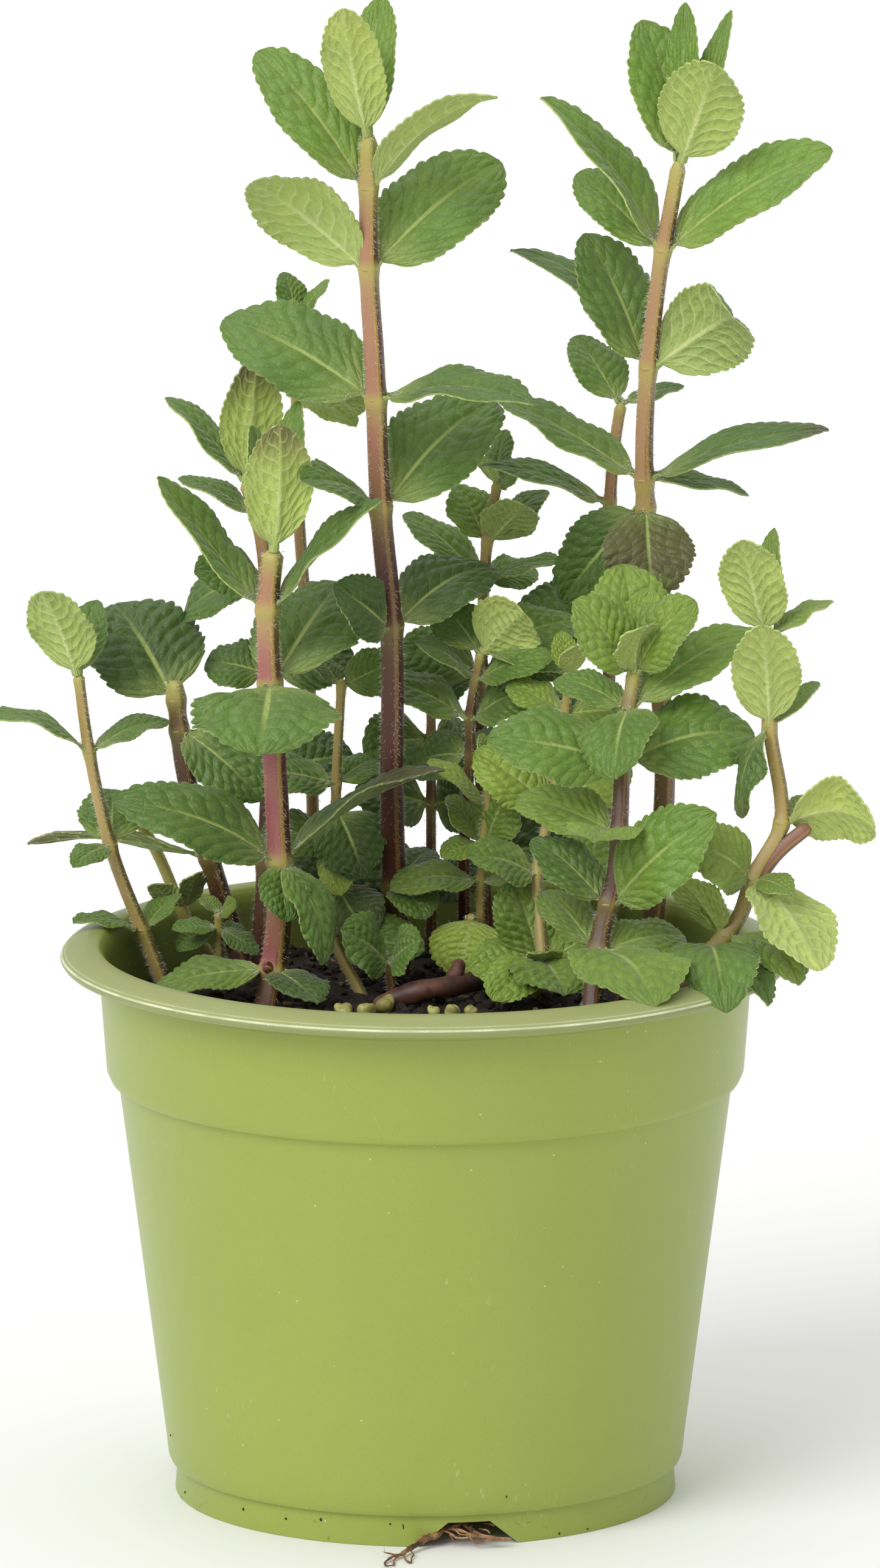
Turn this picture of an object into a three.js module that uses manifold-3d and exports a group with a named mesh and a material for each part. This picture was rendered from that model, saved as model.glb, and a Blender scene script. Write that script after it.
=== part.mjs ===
// A potted mint plant: a tapered plastic nursery pot, its soil and roots, and the square-stemmed
// shoots with their opposite leaf pairs. Millimetres, +Z up. The origin is on the table, on the
// pot's axis, and the viewer's side is -Y.
import * as THREE from 'three';
import Module from 'manifold-3d';

const wasm = await Module();
wasm.setup();

// ---- driving dimensions -------------------------------------------------------------------
const GAP = 0.35;             // clearance between pieces that touch on the real plant
const RIM_RADIUS = 65;        // a 13 cm pot
const POT_HEIGHT = 99.6;
const RIM_HEIGHT = 3.2;       // from the rolled lip's lower edge to its crest
const LIP_RADIUS = 57.6;      // inner edge of the rolled lip
const COLLAR_TOP_RADIUS = 58.2;
const COLLAR_BOTTOM_RADIUS = 56.8;
const COLLAR_BOTTOM = 77;
const BODY_TOP_RADIUS = 54.7;
const BODY_BOTTOM_RADIUS = 46;
const FOOT_HEIGHT = 5.4;
const FOOT_TOP_RADIUS = 44.4;
const FOOT_RADIUS = 44.8;
const WALL = 1.2;
const FLOOR_TOP = 6.9;        // the floor stands on the foot ring
const POT_SIDES = 44;
const SOIL_SIDES = 22;
const NOTCH_BEARING = -80;    // the foot's front drainage notch, seen from above
const NOTCH_COUNT = 3;
const NOTCH_WIDTH = 20.5;     // at the table
const NOTCH_TOP_WIDTH = 7.5;
const NOTCH_HEIGHT = 4.3;
const DRAIN_RADIUS = 3.6;     // holes in the floor
const DRAIN_CIRCLE = 34;
const SOIL_TOP = 88;
const PLANTING_DEPTH = 9;     // how far each shoot goes down into the soil
const STEM_STEP = 15;         // length of one straight piece of a stem
const THIN_STEM = 1.55;       // a stem below this radius has four plain corners
const COLLAR_THICKNESS = 1.1; // where a pair of leaves clasps the stem
const COLLAR_HEIGHT = 2.6;
const PETIOLE = 0.1;          // share of a leaf's length
const PETIOLE_WIDTH = 1.7;
const PETIOLE_THICKNESS = 1.3;
const BLADE_THICKNESS = 0.8;  // at the midrib
const LEAF_STATIONS = [0, PETIOLE, 0.33, 0.64, 1];

const COLOURS = {
  pot: [0xa3b45c, 0.5],
  soil: [0x2b211b, 0.95],
  root: [0x6b4630, 0.85],
  stem: [0x8a4f4a, 0.55],
  leaf: [0x5f8a48, 0.6],
  youngLeaf: [0x9dba5a, 0.6],
};

// ---- shoots ---------------------------------------------------------------------------------
// path: points of the stem's centre line, from the soil up. radius: at the soil and at the tip.
// Each leaf: [bearing, rise, length, width, roll, arch, fold]. Bearing is the compass angle from
// +X towards +Y, rise the slope of the line from base to tip, roll the turn about that line,
// all in degrees; arch is the midrib's bulge in percent of the length, fold the angle at which
// each half of the blade is raised.
const MAIN_SHOOTS = [
  {
    name: 'tall_left', radius: [2.2, 1.5],
    path: [[-5, 31, SOIL_TOP], [-6, 20, 121], [-6, 16, 152], [-8, 14, 176], [-9, 12, 202],
      [-10, 12, 219], [-10, 12, 243]],
    whorls: [
      { name: 'top', height: 243, young: true,
        leaves: [[-115, 72, 26, 11, 10, 2, 12], [80, 70, 25, 10, -25, 4, 12]] },
      { name: 'fifth', height: 233.5,
        leaves: [[155, 50, 31, 14, -35, 8, 15], [-25, 40, 30, 11, -20, 10, 20]] },
      { name: 'fourth', height: 219,
        leaves: [[-150, 40, 29, 14, 55, 12, 10], [30, 35, 31, 18, 35, 8, 8]] },
      { name: 'third', height: 195.5,
        leaves: [[155, 25, 31, 18, -40, 6, 10], [-25, 5, 29, 13, 15, 8, 15]] },
      { name: 'second', height: 175.5,
        leaves: [[40, 35, 30, 17, 35, 8, 10], [-130, 25, 21, 11, -30, 8, 10]] },
      { name: 'first', height: 153.6,
        leaves: [[45, 20, 25, 14, 25, 8, 10], [-125, 35, 18, 11, -85, 8, 10]] },
      { name: 'base', height: 105,
        leaves: [[60, 20, 12, 8, 10, 8, 8], [-60, -25, 10, 9, 5, 10, 8]] },
    ],
  },
  {
    name: 'tall_right', radius: [2.0, 1.3],
    path: [[40, 30, SOIL_TOP], [43, 32, 123], [40, 26, 162], [39, 18, 188], [41, 14, 214],
      [45, 14, 238]],
    whorls: [
      { name: 'top', height: 238, young: true,
        leaves: [[-60, 60, 23, 15, -45, 4, 8], [125, 70, 26, 15, 0, 4, 10],
          [85, 80, 28, 7, -30, 2, 15], [40, 70, 28, 6, 0, 2, 15]] },
      { name: 'fourth', height: 222,
        leaves: [[170, 55, 34, 13, -15, 6, 20], [-5, 35, 34, 14, 40, 6, 12],
          [140, 35, 22, 11, -25, 6, 10]] },
      { name: 'third', height: 200.6,
        leaves: [[150, 65, 26, 15, -25, 6, 8], [-50, 30, 26, 16, -70, 22, 8],
          [45, 30, 19, 10, 10, 6, 10], [145, 35, 34, 9, -10, 14, 10]] },
      { name: 'second', height: 179.5,
        leaves: [[165, 30, 29, 12, -15, 4, 12], [-10, 20, 33, 11, 15, 6, 12],
          [15, -10, 18, 8, 10, 6, 12]] },
      { name: 'first', height: 174,
        leaves: [[-85, -55, 17, 16, 0, 8, 6], [150, -50, 25, 14, -80, 8, 8]] },
    ],
  },
  {
    name: 'front_left', radius: [2.4, 1.8],
    path: [[-28, 5, SOIL_TOP], [-27, 6, 94], [-26, 5, 104], [-26, 5, 113], [-27, 5, 135],
      [-28, 5, 158], [-27, 5, 169.5]],
    whorls: [
      { name: 'top', height: 169.5, young: true,
        leaves: [[-80, 80, 25, 12, 0, 3, 14], [65, 75, 27, 10, -20, 3, 12],
          [105, 65, 23, 8, 35, 3, 12]] },
      { name: 'fourth', height: 159,
        leaves: [[170, 55, 29, 11, -15, -3, 18], [-15, 50, 28, 11, 20, 4, 20]] },
      { name: 'third', height: 145.5,
        leaves: [[-95, -22, 21, 23, 0, 8, 4], [60, 34, 27, 18, 5, 6, 8]] },
      { name: 'second', height: 113.5,
        leaves: [[-165, 25, 31, 14, -50, 14, 8], [15, 30, 32, 12, -10, 6, 25],
          [-50, -58, 20, 12, -15, 10, 8], [-78, -60, 11, 9, 0, 6, 14]] },
      { name: 'first', height: 93.3,
        leaves: [[-172, -7, 19, 12, -15, 5, 8], [-60, -10, 14, 11, 0, 6, 8]] },
    ],
  },
  {
    name: 'broken_left', radius: [1.9, 1.5],
    path: [[-33, 26, SOIL_TOP], [-34, 30, 92], [-39, 27, 110], [-43, 25, 125], [-45, 25, 142]],
    whorls: [
      { name: 'third', height: 138.5,
        leaves: [[130, 45, 22, 21, -25, 6, 8]] },
      { name: 'second', height: 133,
        leaves: [[-30, -35, 19, 13, 25, 10, 10]] },
      { name: 'first', height: 109.3,
        leaves: [[-180, 7, 31, 11, 20, 6, 10]] },
    ],
  },
  {
    name: 'thin_left', radius: [1.3, 0.9],
    path: [[-47, 18, SOIL_TOP], [-50, 18, 96], [-56, 18, 112], [-60, 18, 130], [-62, 18, 144.5]],
    whorls: [
      { name: 'top', height: 144.5,
        leaves: [[-130, 65, 19, 12, 20, 5, 12], [65, 65, 14, 9, -5, 5, 12]] },
      { name: 'third', height: 130.5,
        leaves: [[-170, 25, 19, 9, -5, 12, 10], [20, 20, 15, 9, 5, 10, 10]] },
      { name: 'second', height: 113.5,
        leaves: [[90, 40, 13, 12, 0, 6, 6], [-125, -10, 10, 6, -15, 6, 10]] },
      { name: 'first', height: 98,
        leaves: [[-150, 15, 13, 8, -10, 8, 8], [40, 40, 9, 7, 0, 6, 12]] },
    ],
  },
  {
    name: 'front_right', radius: [1.9, 1.2],
    path: [[29, -25, SOIL_TOP], [31, -17, 104.5], [33.5, -15, 114], [34.5, -12, 125], [35, -8, 134.5],
      [37, -2, 149]],
    whorls: [
      { name: 'top', height: 149, young: true,
        leaves: [[-160, 55, 17, 12, -65, 12, 8], [-20, 55, 17, 12, 60, 12, 8],
          [100, 65, 20, 15, 0, 8, 10], [50, 80, 15, 9, 0, 6, 12], [-75, 60, 12, 9, 25, 10, 12]] },
      { name: 'fifth', height: 143,
        leaves: [[-100, -30, 18, 14, 15, 12, 8], [30, 25, 29, 13, 20, 8, 10],
          [145, 15, 15, 8, -25, 6, 10]] },
      { name: 'fourth', height: 134,
        leaves: [[-165, 15, 24, 15, -50, 10, 6], [15, 10, 23.5, 17, 40, 12, 6]] },
      { name: 'third', height: 122,
        leaves: [[-108, 10, 13, 13, 0, 8, 10], [155, 15, 19, 11, -35, 8, 10]] },
      { name: 'second', height: 110,
        leaves: [[-25, 45, 26, 15, 70, 10, 8], [155, 40, 17, 11, -25, 8, 8]] },
      { name: 'first', height: 102,
        leaves: [[-73, -4, 31, 19, 0, 8, 8], [30, 5, 16, 10, 25, 8, 8], [125, 30, 17, 9, -10, 8, 8]] },
    ],
  },
  {
    name: 'far_right', radius: [1.6, 1.1],
    path: [[44, -6, SOIL_TOP], [50, -14, 100], [55.5, -14, 107], [58, -13, 114], [63, -11, 123],
      [63, -10, 128], [61, -8, 140], [60.6, -8, 157]],
    branch: { radius: [1.9, 1.9], path: [[57, -13, 111], [62, -12, 118], [68, -11, 123]] },
    whorls: [
      { name: 'top', height: 157, young: true,
        leaves: [[-135, 75, 19, 12, 25, 4, 8], [15, 30, 12, 8, 5, 6, 10], [85, 70, 19, 6, -45, 3, 14]] },
      { name: 'fourth', height: 140.5,
        leaves: [[-100, 70, 22, 12, 10, 4, 8], [40, 35, 12, 5, 0, 4, 12],
          [-130, -65, 17, 8, 25, 10, 14]] },
      { name: 'third', height: 123.5,
        leaves: [[-15, 0, 16, 14, -60, 24, 8], [55, 30, 8, 5, -5, 6, 12]] },
      { name: 'second', height: 114,
        leaves: [[-150, 35, 14, 13, -65, 16, 8], [-50, -43, 21, 17, 175, -8, 2],
          [-50, -5, 9, 6, 25, 6, 10]] },
      { name: 'first', height: 104,
        leaves: [[-150, 55, 15, 9, 30, 8, 8], [-35, -25, 16, 13, 0, 18, 8], [150, 65, 9, 7, 0, 6, 8]] },
      { name: 'base', height: 100.5,
        leaves: [[-85, -8, 27, 15, 0, 20, 8], [-60, -14, 20, 9, -10, 16, 8]] },
    ],
  },
];

// Short and thin shoots, each one piece with its leaves.
const SIDE_SHOOTS = [
  {
    name: 'behind_right', radius: [1.2, 1.0],
    path: [[32, 41, SOIL_TOP], [33, 36, 142], [33, 33, 172], [34, 31, 185], [35, 30, 191.6]],
    whorls: [
      { height: 191.6, leaves: [[135, 45, 16, 11, -10, 6, 10], [15, 15, 12, 6, 10, 4, 10]] },
      { height: 172.7, leaves: [[-170, 20, 25, 10, -15, 8, 10]] },
      { height: 150, leaves: [[172, 8, 18, 13, -45, 8, 8]] },
      { height: 131, leaves: [[175, 5, 18, 14, -45, 8, 8]] },
      { height: 114, leaves: [[172, 5, 17, 14, -45, 8, 8]] },
    ],
  },
  {
    name: 'back_left', radius: [1.5, 1.2],
    path: [[-30, 31, SOIL_TOP], [-28, 33, 131], [-29, 28, 166], [-32, 25, 178.4]],
    whorls: [
      { height: 178.4, leaves: [[-75, 75, 25, 11, 0, 3, 10], [160, 45, 21, 10, -5, 4, 14],
        [55, 35, 15, 9, 5, 4, 12]] },
      { height: 171.7, leaves: [[165, 25, 16, 8, -5, 6, 12]] },
      { height: 160, leaves: [[-150, 10, 15, 11, -45, 12, 8], [150, -25, 20, 10, -50, 10, 8]] },
      { height: 142, leaves: [[12, 12, 16, 13, 45, 8, 8], [170, 10, 12, 11, -40, 8, 8]] },
      { height: 124, leaves: [[12, 8, 16, 13, 45, 8, 8], [172, 5, 10, 11, -40, 8, 8]] },
      { height: 107, leaves: [[15, 5, 16, 13, 45, 8, 8]] },
    ],
  },
  {
    name: 'thin_back', radius: [1.2, 0.9],
    path: [[-20, 47, SOIL_TOP], [-21, 44, 140], [-23, 42, 174], [-23, 40, 192], [-23, 39, 206]],
    whorls: [
      { height: 205.5, leaves: [[120, 60, 9, 6, 0, 4, 10], [20, 50, 9, 6, 0, 4, 10]] },
      { height: 197, leaves: [[8, 12, 14, 10, 40, 6, 8], [165, 35, 14, 9, -25, 4, 12]] },
      { height: 190.5, leaves: [[12, -5, 13, 9, 40, 6, 8], [-30, -15, 13, 8, 10, 8, 8]] },
    ],
  },
  {
    name: 'middle_back', radius: [1.3, 0.8],
    path: [[11, 47, SOIL_TOP], [10, 40, 130], [11, 38, 164], [13, 38, 176]],
    whorls: [
      { height: 175.5, leaves: [[70, 70, 10, 7, -30, 4, 8], [-140, 50, 10, 6, 0, 6, 8],
        [-40, 35, 6, 6, 50, 6, 8]] },
      { height: 165, leaves: [[140, 55, 12, 11, -10, 4, 8], [-45, 40, 13, 10, -35, 8, 8],
        [30, 35, 15, 8, 10, 6, 8]] },
      { height: 157.6, leaves: [[150, 35, 20, 9, -15, 6, 8], [-160, -10, 13, 12, -20, 10, 8],
        [-15, 20, 15, 8, 10, 6, 8], [35, 5, 12, 8, 35, 5, 8]] },
      { height: 141, leaves: [[-2, 10, 18, 13, 45, 8, 8], [178, 15, 16, 12, -45, 8, 8]] },
      { height: 122, leaves: [[5, 5, 18, 14, 45, 8, 8]] },
      { height: 106, leaves: [[3, 5, 18, 14, 45, 8, 8]] },
    ],
  },
  {
    name: 'middle', radius: [1.1, 0.8],
    path: [[7, 36, SOIL_TOP], [7, 31, 112], [8, 26, 128], [8, 25, 136], [10, 24, 147.6]],
    whorls: [
      { height: 147.3, leaves: [[-40, 40, 14, 13, -60, 12, 8], [130, 35, 13, 11, -15, 8, 8],
        [25, 15, 20, 13, 30, 8, 8], [5, -10, 17, 10, 15, 8, 8]] },
      { height: 142.4, leaves: [[-155, 35, 14, 7, -30, 8, 8], [-25, 20, 16, 9, 35, 8, 8]] },
      { height: 135.1, leaves: [[170, 20, 21, 12, -20, 10, 8], [-15, 25, 16, 13, 30, 10, 8]] },
      { height: 128.3, leaves: [[140, -15, 14, 10, -55, 10, 8], [40, 0, 12, 10, 30, 10, 8]] },
    ],
  },
  {
    name: 'middle_low', radius: [0.9, 0.7],
    path: [[10, 24, SOIL_TOP], [10, 22, 107], [11, 22, 119], [12, 21, 128.2]],
    whorls: [
      { height: 127.6, leaves: [[135, 65, 6, 5, 5, 4, 8], [40, 40, 6, 5, 0, 4, 8]] },
      { height: 119.6, leaves: [[-155, 40, 15, 6, -35, 8, 8], [25, 20, 12, 6, 10, 8, 8]] },
      { height: 112.9, leaves: [[150, 50, 11, 10, 0, 6, 8], [-25, 65, 11, 11, 75, 6, 8],
        [-140, -5, 10, 6, -25, 8, 8], [-60, -5, 7, 6, 40, 8, 8]] },
      { height: 105.9, leaves: [[-165, 0, 17, 10, -20, 10, 8], [30, 15, 12, 10, 25, 8, 8],
        [-25, 5, 11, 6, 5, 6, 8]] },
    ],
  },
  {
    name: 'middle_left', radius: [1.1, 0.8],
    path: [[-12, 14, SOIL_TOP], [-16, 22, 95], [-16, 27, 106], [-16, 27, 123], [-15, 26, 142]],
    whorls: [
      { height: 141, leaves: [[5, 25, 11, 9, 55, 6, 8], [140, 40, 8, 7, 0, 6, 8]] },
      { height: 123, leaves: [[-168, 12, 16, 11, -30, 6, 8], [40, 20, 10, 8, 20, 8, 8]] },
      { height: 118, leaves: [[-62, -45, 15, 13, 35, 6, 8]] },
      { height: 112.5, leaves: [[-85, -45, 12, 8, 25, 6, 8], [-170, 5, 14, 11, -35, 8, 8]] },
      { height: 104, leaves: [[-58, -35, 13, 12, 30, 8, 8]] },
      { height: 95, leaves: [[-20, 0, 17, 12, 45, 10, 8], [45, 30, 10, 8, 10, 8, 8]] },
    ],
  },
  {
    name: 'back_middle', radius: [1.0, 0.8],
    path: [[1, 43, SOIL_TOP], [1, 42, 106], [1, 42, 124], [1, 41, 139]],
    whorls: [
      { height: 138, leaves: [[-165, 25, 13, 10, -35, 6, 8], [-20, 15, 9, 9, 40, 6, 8]] },
      { height: 128, leaves: [[-150, -5, 14, 11, -50, 8, 8], [35, -20, 10, 10, 60, 8, 8]] },
      { height: 116, leaves: [[-160, 10, 15, 12, -45, 8, 8], [10, 0, 7, 11, 50, 8, 8]] },
      { height: 103, leaves: [[-165, 5, 16, 13, -50, 8, 8], [-15, -5, 9, 11, 50, 8, 8]] },
    ],
  },
  {
    name: 'tiny_left', radius: [0.8, 0.7], path: [[-37, 22, SOIL_TOP], [-37, 18, 101]],
    whorls: [
      { height: 101, leaves: [[130, 30, 5, 4, 0, 6, 10], [-45, 30, 5, 4, 60, 6, 10]] },
      { height: 98, leaves: [[-160, 5, 9, 5, -20, 8, 10], [30, -10, 6, 4, 25, 8, 10],
        [155, -25, 10, 6, -45, 8, 8], [-30, -25, 9, 6, 10, 8, 8]] },
    ],
  },
  {
    name: 'rosette', radius: [1.2, 0.8],
    path: [[20, 9, SOIL_TOP], [20.8, 7, 94.5], [20, 14, 109], [22.5, 17, 121], [25, 15, 138],
      [25.6, 14, 146]],
    whorls: [
      { height: 145.5, leaves: [[110, 65, 8, 5, 0, 4, 8], [-70, 60, 7, 5, 0, 4, 8]] },
      { height: 138, leaves: [[165, 25, 12, 9, -20, 6, 8], [-15, 5, 13, 11, 45, 8, 8]] },
      { height: 121, leaves: [[170, 35, 17, 13, -40, 8, 8], [5, 25, 16, 13, 45, 8, 8]] },
      { height: 109, leaves: [[-150, 20, 15, 11, -40, 8, 8], [10, 10, 16, 12, 50, 8, 8]] },
      { height: 94.5, leaves: [[130, 60, 16, 13, -10, 8, 8], [15, 25, 16, 11, 40, 8, 8],
        [150, 30, 10, 7, -30, 8, 8], [-160, 0, 14, 10, -40, 8, 8], [-75, -8, 16, 15, 0, 10, 8],
        [-125, -14, 16, 10, -20, 10, 8], [-85, 30, 7, 6, 0, 6, 10]] },
    ],
  },
  {
    name: 'cut_yellow', radius: [1.0, 1.0],
    path: [[-38, 35, SOIL_TOP], [-43, 31, 97], [-48, 34, 108], [-52, 36, 115]],
    whorls: [
      { height: 99, leaves: [[-40, 60, 9, 7, -5, 6, 8], [-140, 40, 9, 6, 20, 6, 8]] },
    ],
  },
  {
    name: 'low_middle', radius: [0.9, 0.8], path: [[-6, 9, SOIL_TOP], [-6.5, 8, 94.5]],
    whorls: [
      { height: 94, leaves: [[-135, 35, 14, 12, -65, 8, 8], [-50, 35, 10, 10, 60, 8, 8]] },
    ],
  },
  {
    name: 'pale_leaf', radius: [0.8, 0.8],
    path: [[8, 19.5, SOIL_TOP], [8.2, 19.5, 100.5]],
    whorls: [
      { height: 100, leaves: [[-110, -62, 11, 12, 0, 6, 8]] },
    ],
  },
];

// ---- solids ---------------------------------------------------------------------------------
const radians = THREE.MathUtils.degToRad;
const lerp = THREE.MathUtils.lerp;
const UP = new THREE.Vector3(0, 0, 1);

// A closed solid through rings of points, each ring with the same number of points.
function loft(rings) {
  const count = rings[0].length;
  const vertices = rings.flat().flatMap((p) => [p.x, p.y, p.z]);
  const faces = [];
  for (let i = 0; i < rings.length - 1; i++) {
    for (let k = 0; k < count; k++) {
      const a = i * count + k;
      const b = i * count + (k + 1) % count;
      faces.push(a, b, b + count, a, b + count, a + count);
    }
  }
  const last = (rings.length - 1) * count;
  for (let k = 1; k < count - 1; k++) {
    faces.push(0, k + 1, k, last, last + k, last + k + 1);
  }
  return new wasm.Manifold(new wasm.Mesh({
    numProp: 3,
    vertProperties: new Float32Array(vertices),
    triVerts: new Uint32Array(faces),
  }));
}

// The solid of a three.js geometry whose doubled vertices are merged by their place.
function solidOf(geometry) {
  const position = geometry.getAttribute('position');
  const index = geometry.index;
  const found = new Map();
  const vertices = [];
  const faces = [];
  const numberOf = (i) => {
    const p = [position.getX(i), position.getY(i), position.getZ(i)];
    const key = p.map((x) => Math.round(x * 1e4)).join();
    if (!found.has(key)) {
      found.set(key, vertices.length / 3);
      vertices.push(...p);
    }
    return found.get(key);
  };
  for (let i = 0; i < index.count; i += 3) {
    const face = [0, 1, 2].map((k) => numberOf(index.getX(i + k)));
    if (new Set(face).size === 3) {
      faces.push(...face);
    }
  }
  return new wasm.Manifold(new wasm.Mesh({
    numProp: 3,
    vertProperties: new Float32Array(vertices),
    triVerts: new Uint32Array(faces),
  }));
}

function union(solids) {
  return solids.reduce((whole, solid) => whole.add(solid));
}

function meshOf(name, solid, look) {
  const { vertProperties, triVerts } = solid.getMesh();
  const geometry = new THREE.BufferGeometry();
  geometry.setAttribute('position', new THREE.BufferAttribute(vertProperties, 3));
  geometry.setIndex(new THREE.BufferAttribute(triVerts, 1));
  geometry.computeVertexNormals();
  const [color, roughness] = COLOURS[look];
  const mesh = new THREE.Mesh(geometry, new THREE.MeshStandardMaterial({ color, roughness }));
  mesh.name = name;
  return mesh;
}

// A profile of [radius, height] points turned about the pot's axis; it starts and ends on it
// or closes on itself.
function turned(profile, sides) {
  const points = profile.map(([r, z]) => new THREE.Vector2(r, z));
  return solidOf(new THREE.LatheGeometry(points, sides).rotateX(Math.PI / 2));
}

// ---- pot ------------------------------------------------------------------------------------
function pot() {
  const rimBottom = POT_HEIGHT - RIM_HEIGHT;
  const outside = [
    [FOOT_RADIUS - WALL, 0], [FOOT_RADIUS, 0], [FOOT_TOP_RADIUS, FOOT_HEIGHT],
    [BODY_BOTTOM_RADIUS - 0.5, FOOT_HEIGHT + 0.3], [BODY_BOTTOM_RADIUS, FOOT_HEIGHT + 1.4],
    [BODY_TOP_RADIUS, COLLAR_BOTTOM - 2.2], [COLLAR_BOTTOM_RADIUS - 0.7, COLLAR_BOTTOM - 1.6],
    [COLLAR_BOTTOM_RADIUS, COLLAR_BOTTOM], [COLLAR_TOP_RADIUS, rimBottom],
    [RIM_RADIUS - 1.4, rimBottom - 0.2],
  ];
  const rim = [
    [RIM_RADIUS - 0.4, rimBottom], [RIM_RADIUS, rimBottom + 0.9], [RIM_RADIUS - 0.9, rimBottom + 1.9],
    [RIM_RADIUS - 3.2, POT_HEIGHT - 0.4], [RIM_RADIUS - 5.2, POT_HEIGHT],
    [LIP_RADIUS + 0.6, POT_HEIGHT - 0.3], [LIP_RADIUS - 0.3, POT_HEIGHT - 1.4],
  ];
  const inside = [
    [COLLAR_TOP_RADIUS - WALL, rimBottom], [COLLAR_BOTTOM_RADIUS - WALL, COLLAR_BOTTOM + 1],
    [BODY_TOP_RADIUS - WALL, COLLAR_BOTTOM - 1.6],
    [BODY_BOTTOM_RADIUS - WALL - 0.2, FLOOR_TOP], [0, FLOOR_TOP],
    [0, FLOOR_TOP - WALL], [FOOT_TOP_RADIUS - WALL, FLOOR_TOP - WALL],
  ];
  let solid = turned([...outside, ...rim, ...inside, outside[0]], POT_SIDES);
  for (let i = 0; i < NOTCH_COUNT; i++) {
    const turn = radians(NOTCH_BEARING) + i * 2 * Math.PI / NOTCH_COUNT;
    solid = solid.subtract(notch(turn)).subtract(drain(turn));
  }
  return solid.subtract(drain(null));
}

// The room that a notch leaves in the foot ring: a block with slanted sides.
function notch(turn) {
  const ring = (radius) => [
    [-NOTCH_WIDTH / 2, -1], [NOTCH_WIDTH / 2, -1],
    [NOTCH_TOP_WIDTH / 2, NOTCH_HEIGHT], [-NOTCH_TOP_WIDTH / 2, NOTCH_HEIGHT],
  ].map(([side, z]) => new THREE.Vector3(radius, side, z).applyAxisAngle(UP, turn));
  return loft([ring(FOOT_RADIUS - 6), ring(FOOT_RADIUS + 2)]);
}

// A round hole through the floor, beside a notch or, with no turn, in the middle.
function drain(turn) {
  const reach = turn === null ? 0 : DRAIN_CIRCLE;
  const centre = new THREE.Vector3(reach * Math.cos(turn ?? 0), reach * Math.sin(turn ?? 0), 0);
  const ring = (z) => Array.from({ length: 12 }, (_, k) => new THREE.Vector3(
    centre.x + DRAIN_RADIUS * Math.cos(k * Math.PI / 6),
    centre.y + DRAIN_RADIUS * Math.sin(k * Math.PI / 6), z));
  return loft([ring(FLOOR_TOP - WALL - 1), ring(FLOOR_TOP + 1)]);
}

// ---- shoots: stems, whorls and leaves -----------------------------------------------------------
function stemCurve(shoot) {
  const points = shoot.path.map((p) => new THREE.Vector3(...p));
  return new THREE.CatmullRomCurve3(points, false, 'centripetal');
}

// Where the stem's centre line passes a height.
function placeAt(curve, height) {
  let low = 0;
  let high = 1;
  for (let i = 0; i < 30; i++) {
    const middle = (low + high) / 2;
    if (curve.getPoint(middle).z < height) {
      low = middle;
    } else {
      high = middle;
    }
  }
  return { t: low, point: curve.getPoint(low), tangent: curve.getTangent(low) };
}

// The outline of a square stem across its direction: with cut corners, or plain if it is thin.
function stemRing(point, tangent, radius, thin) {
  const side = new THREE.Vector3(0, 1, 0).cross(tangent).normalize();
  const front = tangent.clone().cross(side);
  const cut = [[1, 0.5], [0.5, 1], [-0.5, 1], [-1, 0.5], [-1, -0.5], [-0.5, -1], [0.5, -1], [1, -0.5]];
  const plain = [[0.9, 0.9], [-0.9, 0.9], [-0.9, -0.9], [0.9, -0.9]];
  return (thin ? plain : cut).map(([a, b]) => point.clone()
    .addScaledVector(side, a * radius * 0.94).addScaledVector(front, b * radius * 0.94));
}

// A stem with its cut side branch. Extra widens it and adds to its ends, for cutting room.
function stem(shoot, extra = 0) {
  const main = singleStem(shoot, extra);
  return shoot.branch ? main.add(singleStem(shoot.branch, extra)) : main;
}

// One stem, from below the soil where it starts there, to its tip.
function singleStem(shoot, extra) {
  const curve = stemCurve(shoot);
  const steps = Math.max(3, Math.round(curve.getLength() / STEM_STEP));
  const rings = [];
  const foot = shoot.path[0][2];
  const start = curve.getPoint(0);
  const down = curve.getTangent(0);
  const [wide, narrow] = shoot.radius;
  const thin = wide < THIN_STEM;
  if (foot === SOIL_TOP) {
    const root = start.clone().addScaledVector(down, -(PLANTING_DEPTH + extra) / down.z);
    rings.push(stemRing(root, down, wide + extra, thin));
  }
  for (let i = 0; i <= steps; i++) {
    const t = i / steps;
    const point = curve.getPointAt(t);
    if (i === steps) {
      point.addScaledVector(curve.getTangentAt(1), extra);
    }
    rings.push(stemRing(point, curve.getTangentAt(t), lerp(wide, narrow, t) + extra, thin));
  }
  return loft(rings);
}

// Half of the blade's width along the leaf, as a share of its widest.
function outline(t) {
  const along = (t - PETIOLE) / (1 - PETIOLE);
  return along <= 0 ? 0 : Math.sin(Math.PI * along ** 0.85) ** 0.7;
}

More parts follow.
